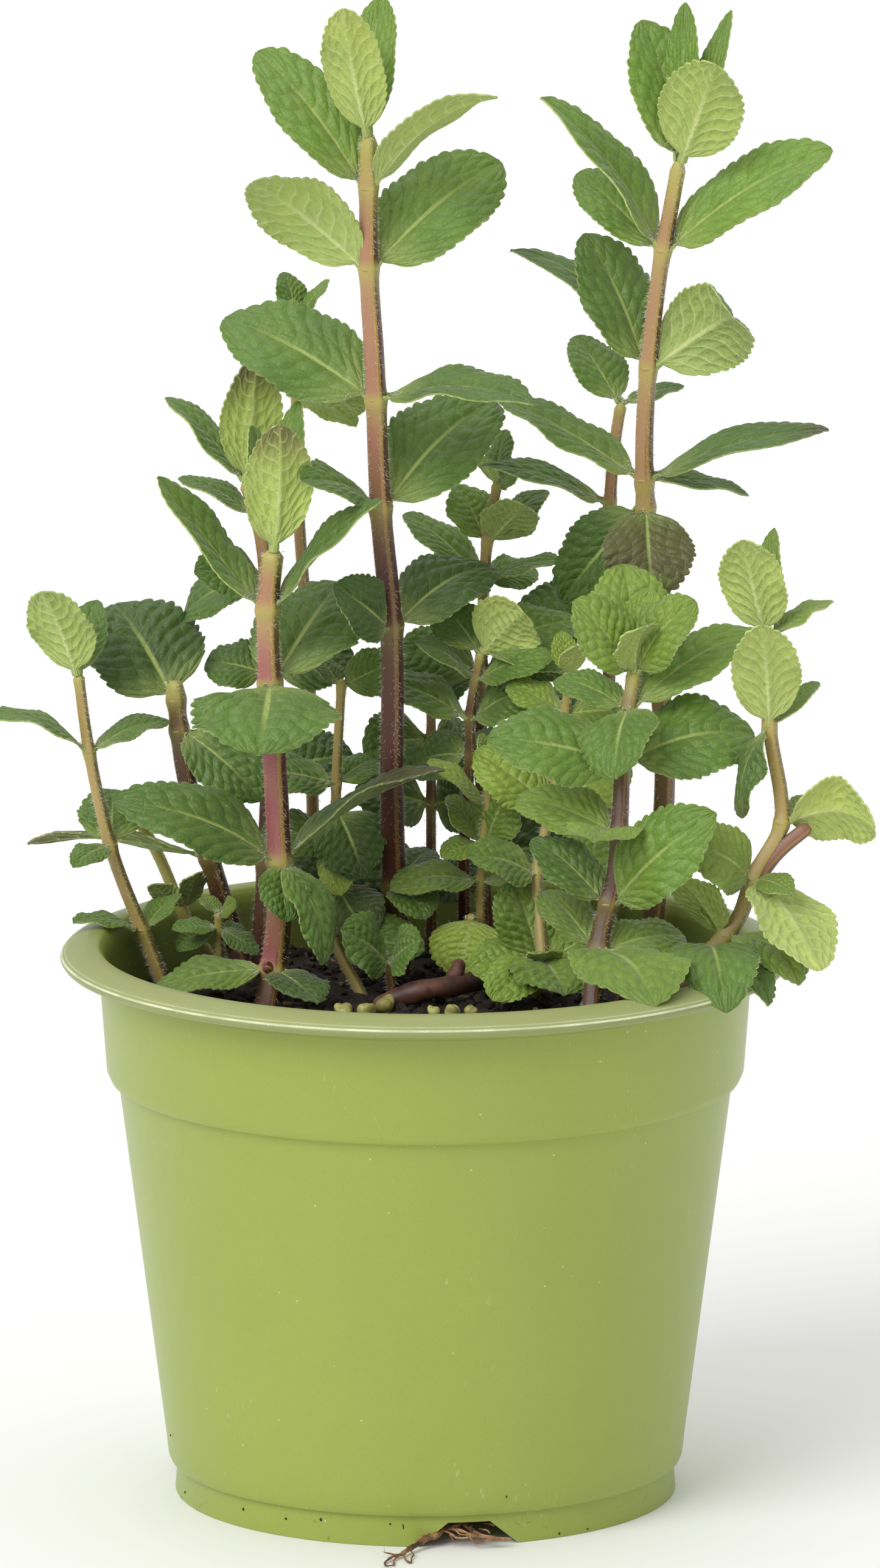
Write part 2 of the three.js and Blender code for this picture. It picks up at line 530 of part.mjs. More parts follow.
// One leaf from a point on the stem. The blade has four corners at each station.
function leaf(base, [bearing, rise, length, width, roll, arch, fold]) {
  const [a, e, r] = [radians(bearing), radians(rise), radians(roll)];
  const along = new THREE.Vector3(Math.cos(e) * Math.cos(a), Math.cos(e) * Math.sin(a), Math.sin(e));
  const level = new THREE.Vector3(-Math.sin(e) * Math.cos(a), -Math.sin(e) * Math.sin(a), Math.cos(e));
  const up = level.clone().applyAxisAngle(along, r);
  const across = along.clone().cross(up);
  const bulge = length * arch / 100;
  const rings = LEAF_STATIONS.map((t) => {
    const centre = base.clone().addScaledVector(along, length * t)
      .addScaledVector(up, bulge * 4 * t * (1 - t));
    const tangent = along.clone().multiplyScalar(length).addScaledVector(up, bulge * 4 * (1 - 2 * t));
    const normal = across.clone().cross(tangent).normalize();
    const half = Math.max(width / 2 * outline(t), t < 0.5 ? PETIOLE_WIDTH / 2 : 0.4);
    const thick = t <= PETIOLE ? PETIOLE_THICKNESS / 2 : BLADE_THICKNESS / 2;
    const lift = t <= PETIOLE ? 0 : half * Math.sin(radians(fold));
    const edge = half * Math.cos(radians(fold));
    return [
      centre.clone().addScaledVector(across, -edge).addScaledVector(normal, lift),
      centre.clone().addScaledVector(normal, thick),
      centre.clone().addScaledVector(across, edge).addScaledVector(normal, lift),
      centre.clone().addScaledVector(normal, -thick),
    ];
  });
  return loft(rings);
}

// The leaves at one height of a stem, each starting the given distance from its centre line.
function blades(place, leaves, out) {
  return leaves.map((row) => {
    const bearing = radians(row[0]);
    const offset = new THREE.Vector3(Math.cos(bearing) * out, Math.sin(bearing) * out, 0);
    return leaf(place.point.clone().add(offset), row);
  });
}

// The leaves at one height, joined by the ring with which they clasp the stem.
function whorl(shoot, { height, leaves }) {
  const place = placeAt(stemCurve(shoot), height);
  const radius = lerp(...shoot.radius, place.t);
  const isTip = place.t > 0.99;
  const above = isTip ? COLLAR_HEIGHT * 0.8 : COLLAR_HEIGHT / 2;
  const rings = [-COLLAR_HEIGHT / 2, above].map((h) => stemRing(
    place.point.clone().addScaledVector(place.tangent, h), place.tangent,
    radius + GAP + COLLAR_THICKNESS, radius < THIN_STEM));
  return union([loft(rings), ...blades(place, leaves, isTip ? radius : radius + GAP)]);
}

// A node for each height; a crumb of the clasping ring that a side branch cuts off is dropped.
function leafNodes(shoot) {
  const room = stem(shoot, GAP);
  return shoot.whorls.map((entry) => {
    const bodies = whorl(shoot, entry).subtract(room).decompose();
    bodies.sort((a, b) => b.volume() - a.volume());
    return meshOf(`leaves_${shoot.name}_${entry.name}`, bodies[0], entry.young ? 'youngLeaf' : 'leaf');
  });
}

function sideShoot(shoot) {
  const curve = stemCurve(shoot);
  const groups = shoot.whorls.map((entry) => blades(placeAt(curve, entry.height), entry.leaves, 0));
  return union([stem(shoot), ...groups.flat()]);
}

// ---- soil and roots ---------------------------------------------------------------------------
function soil() {
  const bottom = FLOOR_TOP + GAP;
  const body = turned([
    [0, bottom], [BODY_BOTTOM_RADIUS - WALL - 0.2 - GAP, bottom],
    [BODY_TOP_RADIUS - WALL - GAP, COLLAR_BOTTOM - 1.6],
    [COLLAR_BOTTOM_RADIUS - WALL - GAP, COLLAR_BOTTOM + 1],
    [COLLAR_BOTTOM_RADIUS - WALL - GAP, SOIL_TOP - 1], [COLLAR_BOTTOM_RADIUS - 6, SOIL_TOP - 0.4],
    [0, SOIL_TOP],
  ], SOIL_SIDES);
  const planted = [...MAIN_SHOOTS, ...SIDE_SHOOTS].map((shoot) => stem(shoot, GAP));
  return planted.reduce((left, room) => left.subtract(room), body);
}

// A round strand through the given points, thinning to its tip.
function strand(points, radius, tipRadius) {
  const curve = new THREE.CatmullRomCurve3(points.map((p) => new THREE.Vector3(...p)));
  const steps = points.length * 2;
  const rings = Array.from({ length: steps + 1 }, (_, i) => {
    const point = curve.getPointAt(i / steps);
    const tangent = curve.getTangentAt(i / steps);
    const side = UP.clone().cross(tangent).normalize();
    const above = tangent.clone().cross(side);
    const size = lerp(radius, tipRadius, i / steps);
    return Array.from({ length: 6 }, (_unused, k) => point.clone()
      .addScaledVector(side, size * Math.cos(k * Math.PI / 3))
      .addScaledVector(above, size * Math.sin(k * Math.PI / 3)));
  });
  return loft(rings);
}

// Roots that grow out of the front drainage hole, through the notch and onto the table.
function roots() {
  return union([
    strand([[5.5, -33, 5], [5, -38, 3.4], [4, -43, 2.6], [-1, -48, 1.6], [-7, -52, 0.9]], 0.9, 0.5),
    strand([[5.5, -33, 5], [8, -38, 3], [13, -43, 2.2], [18, -45.5, 0.8]], 0.7, 0.4),
  ]);
}

// The thick creeping stem that lies on the soil, with a round cut stub.
function creepingStem() {
  const height = SOIL_TOP + GAP + 2.2;
  return union([
    strand([[-5, 1, height], [0, 0.5, height + 0.3], [5, 3, height + 0.4], [11, 11, height]], 2.1, 1.7),
    strand([[4, 3, height], [5.5, 5, height + 3], [6.5, 7, height + 6]], 1.6, 1.4),
  ]);
}

// ---- the group ----------------------------------------------------------------------------------
const plant = new THREE.Group();
plant.add(meshOf('pot', pot(), 'pot'));
plant.add(meshOf('soil', soil(), 'soil'));
plant.add(meshOf('roots_in_notch', roots(), 'root'));
plant.add(meshOf('creeping_stem', creepingStem(), 'stem'));
for (const shoot of MAIN_SHOOTS) {
  plant.add(meshOf(`stem_${shoot.name}`, stem(shoot), 'stem'));
  plant.add(...leafNodes(shoot));
}
for (const shoot of SIDE_SHOOTS) {
  plant.add(meshOf(`shoot_${shoot.name}`, sideShoot(shoot), 'leaf'));
}

export default plant;
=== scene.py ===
"""A mint plant in a plastic nursery pot: pot, soil, roots, stems, leaves and stage, piece by piece."""
import math

import bpy
import numpy as np
from mathutils import Matrix


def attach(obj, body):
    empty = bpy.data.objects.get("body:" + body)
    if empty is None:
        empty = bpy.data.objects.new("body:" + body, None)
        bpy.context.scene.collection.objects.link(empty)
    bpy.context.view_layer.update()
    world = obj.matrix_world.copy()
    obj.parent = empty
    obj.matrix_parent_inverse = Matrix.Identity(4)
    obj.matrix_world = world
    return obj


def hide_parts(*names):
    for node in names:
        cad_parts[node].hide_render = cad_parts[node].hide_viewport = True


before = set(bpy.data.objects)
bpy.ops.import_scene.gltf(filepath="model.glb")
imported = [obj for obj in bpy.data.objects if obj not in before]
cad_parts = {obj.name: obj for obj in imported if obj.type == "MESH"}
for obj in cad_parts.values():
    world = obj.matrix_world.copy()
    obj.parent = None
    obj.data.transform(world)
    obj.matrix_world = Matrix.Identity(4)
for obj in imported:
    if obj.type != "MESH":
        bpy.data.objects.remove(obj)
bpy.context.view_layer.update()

bl_info = {
    "name": "Potted mint",
    "version": (1, 0, 0),
    "blender": (4, 5, 0),
    "location": "3D View > Sidebar > Mint",
    "description": "Builds a potted mint plant piece by piece inside its packed frame",
    "category": "Object",
}

BODY = "root"
MM = 0.001
NUMBER, VECTOR = "NodeSocketFloat", "NodeSocketVector"
MATERIALS, MASTERS = {}, {}      # finishes by name, and shapes that are modelled once and copied

# ---- sizes, in millimetres and degrees unless a name says otherwise

SOIL_TOP = 88
GAP = 0.35                       # between a main stem and its leaves
PETIOLE = 0.06                   # share of a leaf's length
SIDE_VEINS = 8                   # secondary veins on each side of the midrib
VEIN_SWEEP = 0.34                # how far a side vein runs forward on its way to the margin
VEIN_CURVE = 1.2
VEIN_SHIFT = 0.4                 # the left side veins start between the right ones
BLOCKS = 3.2                     # rows of raised tissue between midrib and margin
WANDER = 0.18                    # how far veins stray from their even spacing
ROW_SHIFT = 1.7                  # how far the rows between side veins are out of step
NET_SCALES = (820, 1900)         # cells per metre of the coarse and the fine net of veins
BIG_LEAF = 15                    # shorter leaves get the coarser grid
BIG_GRID, SMALL_GRID = (14, 28), (9, 16)        # teeth on each side, and columns across
PETIOLE_ROWS, TOOTH_ROWS = 5, 4  # rows of a leaf's grid
LEAF_HAIR_RADIUS, STEM_HAIR_RADIUS = 0.03, 0.027
LEAF_SEED, LEAF_SEED_STEP, SIDE_NUMBERS = 1000, 37, 100      # side shoots number their whorls from 101

CORNER_BEARING = -68             # the stem corner that shows its light edge to the front
SHADE_BEARING = -25              # the way the stems' dark maroon faces look: their own maroon, darkened as painted shade
STEM_SIDES = 24
PLANTED = 7                      # how far a stem goes on below the soil
LONG_STEM = 45                   # a stem that stands higher above the soil gets more rings
LONG_RINGS, SHORT_RINGS, SIDE_RINGS, ROOT_RINGS = 90, 45, 24, 40
THICK_STEM = 1.25                # a thicker stem has sharper corners
SHARP_RIDGE, SOFT_RIDGE = 0.085, 0.05           # shares of the stem's radius
KNOT_SWELL, KNOT_REACH = 0.22, 1.3              # share of the radius, and millimetres
STEM_HAIRS = 26                  # hairs for each millimetre of a stem

# A leaf row: bearing, rise, length, width, roll, arch in percent of length, fold in degrees.
# A whorl: name (of a main stem's whorl), height of its clasp, age from 0 (new) to 1 (old), leaf rows.
MAIN_SHOOTS = [
    {"name": "tall_left", "radius": (2.2, 1.5),
     "path": [(-5, 31, 88), (-6, 20, 121), (-6, 16, 152), (-8, 14, 176), (-9, 12, 202), (-10, 12, 219),
              (-10, 12, 243)],
     "whorls": [
         ("top", 243, 0.05, [(-115, 72, 26, 11, 10, 2, 12), (80, 70, 25, 10, -25, 4, 12)]),
         ("fifth", 233.5, 0.35, [(155, 50, 31, 14, -35, 8, 15), (-25, 40, 30, 11, -20, 10, 20)]),
         ("fourth", 219, 0.6, [(-150, 40, 29, 14, 55, 12, 10), (30, 35, 31, 18, 35, 8, 8)]),
         ("third", 195.5, 0.9, [(155, 25, 31, 18, -40, 6, 10), (-25, 5, 29, 13, 15, 8, 15)]),
         ("second", 175.5, 0.9, [(40, 35, 30, 17, 35, 8, 10), (-130, 25, 21, 11, -30, 8, 10)]),
         ("first", 153.6, 0.95, [(45, 20, 25, 14, 25, 8, 10), (-125, 35, 18, 11, -85, 8, 10)]),
         ("base", 105, 0.8, [(60, 20, 12, 8, 10, 8, 8), (-60, -25, 10, 9, 5, 10, 8)]),
     ]},
    {"name": "tall_right", "radius": (2, 1.3),
     "path": [(40, 30, 88), (43, 32, 123), (40, 26, 162), (39, 18, 188), (41, 14, 214), (45, 14, 238)],
     "whorls": [
         ("top", 238, 0.05, [(-60, 60, 23, 15, -45, 4, 8), (125, 70, 26, 15, 0, 4, 10),
          (85, 80, 28, 7, -30, 2, 15), (40, 70, 28, 6, 0, 2, 15)]),
         ("fourth", 222, 0.3, [(170, 55, 34, 13, -15, 6, 20), (-5, 35, 34, 14, 40, 6, 12),
          (140, 35, 22, 11, -25, 6, 10)]),
         ("third", 200.6, 0.7, [(150, 65, 26, 15, -25, 6, 8), (-50, 30, 26, 16, -70, 22, 8),
          (45, 30, 19, 10, 10, 6, 10), (145, 35, 34, 9, -10, 14, 10)]),
         ("second", 179.5, 0.85, [(165, 30, 29, 12, -15, 4, 12), (-10, 20, 33, 11, 15, 6, 12),
          (15, -10, 18, 8, 10, 6, 12)]),
         ("first", 174, 1.0, [(-85, -55, 17, 16, 0, 8, 6), (150, -50, 25, 14, -80, 8, 8)]),
     ]},
    {"name": "front_left", "radius": (2.4, 1.8),
     "path": [(-28, 5, 88), (-27, 6, 94), (-26, 5, 104), (-26, 5, 113), (-27, 5, 135), (-28, 5, 158),
              (-27, 5, 169.5)],
     "whorls": [
         ("top", 169.5, 0.1, [(-80, 80, 25, 12, 0, 3, 14), (65, 75, 27, 10, -20, 3, 12),
          (105, 65, 23, 8, 35, 3, 12)]),
         ("fourth", 159, 0.55, [(170, 55, 29, 11, -15, -3, 18), (-15, 50, 28, 11, 20, 4, 20)]),
         ("third", 145.5, 0.75, [(-95, -22, 21, 23, 0, 8, 4), (60, 34, 27, 18, 5, 6, 8)]),
         ("second", 113.5, 0.8, [(-165, 25, 31, 14, -50, 14, 8), (15, 30, 32, 12, -10, 6, 25),
          (-50, -58, 20, 12, -15, 10, 8), (-78, -60, 11, 9, 0, 6, 14)]),
         ("first", 93.3, 0.6, [(-172, -7, 19, 12, -15, 5, 8), (-60, -10, 14, 11, 0, 6, 8)]),
     ]},
    {"name": "broken_left", "radius": (1.9, 1.5),
     "path": [(-33, 26, 88), (-34, 30, 92), (-39, 27, 110), (-43, 25, 125), (-45, 25, 142)],
     "whorls": [
         ("third", 138.5, 1.0, [(130, 45, 22, 21, -25, 6, 8)]),
         ("second", 133, 0.9, [(-30, -35, 19, 13, 25, 10, 10)]),
         ("first", 109.3, 0.9, [(-180, 7, 31, 11, 20, 6, 10)]),
     ]},
    {"name": "thin_left", "radius": (1.3, 0.9),
     "path": [(-47, 18, 88), (-50, 18, 96), (-56, 18, 112), (-60, 18, 130), (-62, 18, 144.5)],
     "whorls": [
         ("top", 144.5, 0.55, [(-130, 65, 19, 12, 20, 5, 12), (65, 65, 14, 9, -5, 5, 12)]),
         ("third", 130.5, 0.6, [(-170, 25, 19, 9, -5, 12, 10), (20, 20, 15, 9, 5, 10, 10)]),
         ("second", 113.5, 0.55, [(90, 40, 13, 12, 0, 6, 6), (-125, -10, 10, 6, -15, 6, 10)]),
         ("first", 98, 0.6, [(-150, 15, 13, 8, -10, 8, 8), (40, 40, 9, 7, 0, 6, 12)]),
     ]},
    {"name": "front_right", "radius": (1.9, 1.2),
     "path": [(29, -25, 88), (31, -17, 104.5), (33.5, -15, 114), (34.5, -12, 125), (35, -8, 134.5),
              (37, -2, 149)],
     "whorls": [
         ("top", 149, 0.25, [(-160, 55, 17, 12, -65, 12, 8), (-20, 55, 17, 12, 60, 12, 8),
          (100, 65, 20, 15, 0, 8, 10), (50, 80, 15, 9, 0, 6, 12), (-75, 60, 12, 9, 25, 10, 12)]),
         ("fifth", 143, 0.5, [(-100, -30, 18, 14, 15, 12, 8), (30, 25, 29, 13, 20, 8, 10),
          (145, 15, 15, 8, -25, 6, 10)]),
         ("fourth", 134, 0.65, [(-165, 15, 24, 15, -50, 10, 6), (15, 10, 23.5, 17, 40, 12, 6)]),
         ("third", 122, 0.6, [(-108, 10, 13, 13, 0, 8, 10), (155, 15, 19, 11, -35, 8, 10)]),
         ("second", 110, 0.65, [(-25, 45, 26, 15, 70, 10, 8), (155, 40, 17, 11, -25, 8, 8)]),
         ("first", 102, 0.6, [(-73, -4, 31, 19, 0, 8, 8), (30, 5, 16, 10, 25, 8, 8),
          (125, 30, 17, 9, -10, 8, 8)]),
     ]},
    {"name": "far_right", "radius": (1.6, 1.1),
     "path": [(44, -6, 88), (50, -14, 100), (55.5, -14, 107), (58, -13, 114), (63, -11, 123),
              (63, -10, 128), (61, -8, 140), (60.6, -8, 157)],
     "branch": [(57, -13, 111), (62, -12, 118), (68, -11, 123)],
     "whorls": [
         ("top", 157, 0.3, [(-135, 75, 19, 12, 25, 4, 8), (15, 30, 12, 8, 5, 6, 10),
          (85, 70, 19, 6, -45, 3, 14)]),
         ("fourth", 140.5, 0.4, [(-100, 70, 22, 12, 10, 4, 8), (40, 35, 12, 5, 0, 4, 12),
          (-130, -65, 17, 8, 25, 10, 14)]),
         ("third", 123.5, 0.4, [(-15, 0, 16, 14, -60, 24, 8), (55, 30, 8, 5, -5, 6, 12)]),
         ("second", 114, 0.45, [(-150, 35, 14, 13, -65, 16, 8), (-50, -43, 21, 17, 175, -8, 2),
          (-50, -5, 9, 6, 25, 6, 10)]),
         ("first", 104, 0.4, [(-150, 55, 15, 9, 30, 8, 8), (-35, -25, 16, 13, 0, 18, 8),
          (150, 65, 9, 7, 0, 6, 8)]),
         ("base", 100.5, 0.6, [(-85, -8, 27, 15, 0, 20, 8), (-60, -14, 20, 9, -10, 16, 8)]),
     ]},
]
SIDE_SHOOTS = [
    {"name": "behind_right", "radius": (1.2, 1.0),
     "path": [(32, 41, 88), (33, 36, 142), (33, 33, 172), (34, 31, 185), (35, 30, 191.6)],
     "whorls": [
         (191.6, 0.7, [(135, 45, 16, 11, -10, 6, 10), (15, 15, 12, 6, 10, 4, 10)]),
         (172.7, 0.85, [(-170, 20, 25, 10, -15, 8, 10)]),
         (150, 0.9, [(172, 8, 18, 13, -45, 8, 8)]),
         (131, 0.9, [(175, 5, 18, 14, -45, 8, 8)]),
         (114, 0.9, [(172, 5, 17, 14, -45, 8, 8)]),
     ]},
    {"name": "back_left", "radius": (1.5, 1.2),
     "path": [(-30, 31, 88), (-28, 33, 131), (-29, 28, 166), (-32, 25, 178.4)],
     "whorls": [
         (178.4, 0.25, [(-75, 75, 25, 11, 0, 3, 10), (160, 45, 21, 10, -5, 4, 14),
          (55, 35, 15, 9, 5, 4, 12)]),
         (171.7, 0.5, [(165, 25, 16, 8, -5, 6, 12)]),
         (160, 0.9, [(-150, 10, 15, 11, -45, 12, 8), (150, -25, 20, 10, -50, 10, 8)]),
         (142, 0.9, [(12, 12, 16, 13, 45, 8, 8), (170, 10, 12, 11, -40, 8, 8)]),
         (124, 0.9, [(12, 8, 16, 13, 45, 8, 8), (172, 5, 10, 11, -40, 8, 8)]),
         (107, 0.9, [(15, 5, 16, 13, 45, 8, 8)]),
     ]},
    {"name": "thin_back", "radius": (1.2, 0.9),
     "path": [(-20, 47, 88), (-21, 44, 140), (-23, 42, 174), (-23, 40, 192), (-23, 39, 206)],
     "whorls": [
         (205.5, 0.5, [(120, 60, 9, 6, 0, 4, 10), (20, 50, 9, 6, 0, 4, 10)]),
         (197, 0.3, [(8, 12, 14, 10, 40, 6, 8), (165, 35, 14, 9, -25, 4, 12)]),
         (190.5, 0.3, [(12, -5, 13, 9, 40, 6, 8), (-30, -15, 13, 8, 10, 8, 8)]),
     ]},
    {"name": "middle_back", "radius": (1.3, 0.8),
     "path": [(11, 47, 88), (10, 40, 130), (11, 38, 164), (13, 38, 176)],
     "whorls": [
         (175.5, 0.4, [(70, 70, 10, 7, -30, 4, 8), (-140, 50, 10, 6, 0, 6, 8), (-40, 35, 6, 6, 50, 6, 8)]),
         (165, 0.6, [(140, 55, 12, 11, -10, 4, 8), (-45, 40, 13, 10, -35, 8, 8),
          (30, 35, 15, 8, 10, 6, 8)]),
         (157.6, 0.75, [(150, 35, 20, 9, -15, 6, 8), (-160, -10, 13, 12, -20, 10, 8),
          (-15, 20, 15, 8, 10, 6, 8), (35, 5, 12, 8, 35, 5, 8)]),
         (141, 0.85, [(-2, 10, 18, 13, 45, 8, 8), (178, 15, 16, 12, -45, 8, 8)]),
         (122, 0.9, [(5, 5, 18, 14, 45, 8, 8)]),
         (106, 0.9, [(3, 5, 18, 14, 45, 8, 8)]),
     ]},
    {"name": "middle", "radius": (1.1, 0.8),
     "path": [(7, 36, 88), (7, 31, 112), (8, 26, 128), (8, 25, 136), (10, 24, 147.6)],
     "whorls": [
         (147.3, 0.7, [(-40, 40, 14, 13, -60, 12, 8), (130, 35, 13, 11, -15, 8, 8),
          (25, 15, 20, 13, 30, 8, 8), (5, -10, 17, 10, 15, 8, 8)]),
         (142.4, 0.7, [(-155, 35, 14, 7, -30, 8, 8), (-25, 20, 16, 9, 35, 8, 8)]),
         (135.1, 0.75, [(170, 20, 21, 12, -20, 10, 8), (-15, 25, 16, 13, 30, 10, 8)]),
         (128.3, 0.8, [(140, -15, 14, 10, -55, 10, 8), (40, 0, 12, 10, 30, 10, 8)]),
     ]},
    {"name": "middle_low", "radius": (0.9, 0.7),
     "path": [(10, 24, 88), (10, 22, 107), (11, 22, 119), (12, 21, 128.2)],
     "whorls": [
         (127.6, 0.3, [(135, 65, 6, 5, 5, 4, 8), (40, 40, 6, 5, 0, 4, 8)]),
         (119.6, 0.4, [(-155, 40, 15, 6, -35, 8, 8), (25, 20, 12, 6, 10, 8, 8)]),
         (112.9, 0.45, [(150, 50, 11, 10, 0, 6, 8), (-25, 65, 11, 11, 75, 6, 8),
          (-140, -5, 10, 6, -25, 8, 8), (-60, -5, 7, 6, 40, 8, 8)]),
         (105.9, 0.5, [(-165, 0, 17, 10, -20, 10, 8), (30, 15, 12, 10, 25, 8, 8),
          (-25, 5, 11, 6, 5, 6, 8)]),
     ]},
    {"name": "middle_left", "radius": (1.1, 0.8),
     "path": [(-12, 14, 88), (-16, 22, 95), (-16, 27, 106), (-16, 27, 123), (-15, 26, 142)],
     "whorls": [
         (141, 0.6, [(5, 25, 11, 9, 55, 6, 8), (140, 40, 8, 7, 0, 6, 8)]),
         (123, 0.6, [(-168, 12, 16, 11, -30, 6, 8), (40, 20, 10, 8, 20, 8, 8)]),
         (118, 0.9, [(-62, -45, 15, 13, 35, 6, 8)]),
         (112.5, 0.5, [(-85, -45, 12, 8, 25, 6, 8), (-170, 5, 14, 11, -35, 8, 8)]),
         (104, 0.95, [(-58, -35, 13, 12, 30, 8, 8)]),
         (95, 0.6, [(-20, 0, 17, 12, 45, 10, 8), (45, 30, 10, 8, 10, 8, 8)]),
     ]},
    {"name": "back_middle", "radius": (1.0, 0.8),
     "path": [(1, 43, 88), (1, 42, 106), (1, 42, 124), (1, 41, 139)],
     "whorls": [
         (138, 0.8, [(-165, 25, 13, 10, -35, 6, 8), (-20, 15, 9, 9, 40, 6, 8)]),
         (128, 0.85, [(-150, -5, 14, 11, -50, 8, 8), (35, -20, 10, 10, 60, 8, 8)]),
         (116, 0.9, [(-160, 10, 15, 12, -45, 8, 8), (10, 0, 7, 11, 50, 8, 8)]),
         (103, 0.95, [(-165, 5, 16, 13, -50, 8, 8), (-15, -5, 9, 11, 50, 8, 8)]),
     ]},
    {"name": "tiny_left", "radius": (0.8, 0.7),
     "path": [(-37, 22, 88), (-37, 18, 101)],
     "whorls": [
         (101, 0.3, [(130, 30, 5, 4, 0, 6, 10), (-45, 30, 5, 4, 60, 6, 10)]),
         (98, 0.5, [(-160, 5, 9, 5, -20, 8, 10), (30, -10, 6, 4, 25, 8, 10), (155, -25, 10, 6, -45, 8, 8),
          (-30, -25, 9, 6, 10, 8, 8)]),
     ]},
    {"name": "rosette", "radius": (1.2, 0.8),
     "path": [(20, 9, 88), (20.8, 7, 94.5), (20, 14, 109), (22.5, 17, 121), (25, 15, 138), (25.6, 14, 146)],
     "whorls": [
         (145.5, 0.15, [(110, 65, 8, 5, 0, 4, 8), (-70, 60, 7, 5, 0, 4, 8)]),
         (138, 0.45, [(165, 25, 12, 9, -20, 6, 8), (-15, 5, 13, 11, 45, 8, 8)]),
         (121, 0.3, [(170, 35, 17, 13, -40, 8, 8), (5, 25, 16, 13, 45, 8, 8)]),
         (109, 0.6, [(-150, 20, 15, 11, -40, 8, 8), (10, 10, 16, 12, 50, 8, 8)]),
         (94.5, 0.25, [(130, 60, 16, 13, -10, 8, 8), (15, 25, 16, 11, 40, 8, 8),
          (150, 30, 10, 7, -30, 8, 8), (-160, 0, 14, 10, -40, 8, 8), (-75, -8, 16, 15, 0, 10, 8),
          (-125, -14, 16, 10, -20, 10, 8), (-85, 30, 7, 6, 0, 6, 10)]),
     ]},
    {"name": "cut_yellow", "radius": (1, 1),
     "path": [(-38, 35, 88), (-43, 31, 97), (-48, 34, 108), (-52, 36, 115)],
     "whorls": [
         (99, 0.5, [(-40, 60, 9, 7, -5, 6, 8), (-140, 40, 9, 6, 20, 6, 8)]),
     ]},
    {"name": "low_middle", "radius": (0.9, 0.8),
     "path": [(-6, 9, 88), (-6.5, 8, 94.5)],
     "whorls": [
         (94, 0.8, [(-135, 35, 14, 12, -65, 8, 8), (-50, 35, 10, 10, 60, 8, 8)]),
     ]},
    {"name": "pale_leaf", "radius": (0.8, 0.8),
     "path": [(8, 19.5, 88), (8.2, 19.5, 100.5)],
     "whorls": [
         (100, 0.15, [(-110, -62, 11, 12, 0, 6, 8)]),
     ]},
]

# The pot, turned about the z axis.
POT_SEGMENTS = 176
RIM_RADIUS, POT_HEIGHT, RIM_HEIGHT, LIP_RADIUS = 65, 99.6, 3.2, 57.6
COLLAR_TOP_RADIUS, COLLAR_BOTTOM_RADIUS, COLLAR_BOTTOM = 58.2, 56.8, 77
BODY_TOP_RADIUS, BODY_BOTTOM_RADIUS = 54.7, 46
FOOT_HEIGHT, FOOT_TOP_RADIUS, FOOT_RADIUS = 5.4, 44.4, 44.8
FOOT_SLOPE = 0.07                # how much the foot narrows for each millimetre of height
WALL_SLOPE = (BODY_TOP_RADIUS - BODY_BOTTOM_RADIUS) / (COLLAR_BOTTOM - 2.2 - FOOT_HEIGHT - 1.4)
WALL, FLOOR_TOP = 1.2, 6.9
NOTCH_BEARING, NOTCH_COUNT, NOTCH_DEPTH = -80, 3, 16
NOTCH_WIDTH, NOTCH_TOP_WIDTH, NOTCH_HEIGHT = 20.5, 7.5, 4.3
DRAIN_RADIUS, DRAIN_CIRCLE = 3.6, 34
SOIL_SEGMENTS, SOIL_RINGS = 132, 44
SOIL_LOOSE_RADIUS = 54.8         # the soil is uneven inside it
CRUMB_REACH = 55.2
SOIL_SEED, BUD_SEED, DARK_ROOT_SEED, PALE_ROOT_SEED = 5, 21, 70, 90

# Roots out of the front notch: points, and the radius at both ends. The first one lies on the table
# and forks.
DARK_ROOTS = [
    ([(5.5, -33, 5), (4, -38, 3.6), (2.8, -42, 2.5), (2.1, -44.5, 2.1), (0.1, -46, 1.7), (-1.2, -47.5, 1.3),
      (-2.9, -50.1, 1), (-4.2, -52.8, 0.7)], (0.66, 0.42)),
    ([(-3.9, -52.6, 0.7), (-5.4, -53.3, 0.6), (-6.5, -55.5, 0.5), (-7.1, -57.6, 0.4), (-6.9, -59.4, 0.3)],
     (0.26, 0.14)),
    ([(-4.6, -53.1, 0.6), (-5.5, -55.5, 0.4), (-5.6, -58.5, 0.3), (-6.8, -59.4, 0.3)], (0.18, 0.12)),
    ([(-4.2, -53, 0.6), (-5.9, -52, 0.6), (-7.3, -51.5, 0.8)], (0.2, 0.1)),
    ([(-3.9, -52.4, 0.6), (-3.3, -55.9, 0.4), (-2.6, -56.8, 0.3), (-2.4, -53.8, 0.4), (-2, -52.4, 0.6),
      (-2.6, -51.2, 1)], (0.18, 0.12)),
    ([(3, -41, 2.7), (3.9, -42, 2.8), (5.1, -42, 3.1), (6.4, -40, 3.1)], (0.4, 0.3)),
    ([(2.9, -43, 2.6), (4.2, -43.5, 2.3), (4.6, -44.5, 1.7), (5.1, -45, 1.2)], (0.2, 0.1)),
    ([(8.5, -42, 3.4), (7.9, -43, 3.2), (8.7, -43, 2.7), (7.9, -43.5, 2.5), (8.4, -44, 2.1)], (0.16, 0.12)),
    ([(10.2, -41, 3.4), (11.3, -42, 3.5), (12.2, -42.5, 3.3)], (0.2, 0.14)),
]
ROOT_HAIRS = 6                   # on each strand
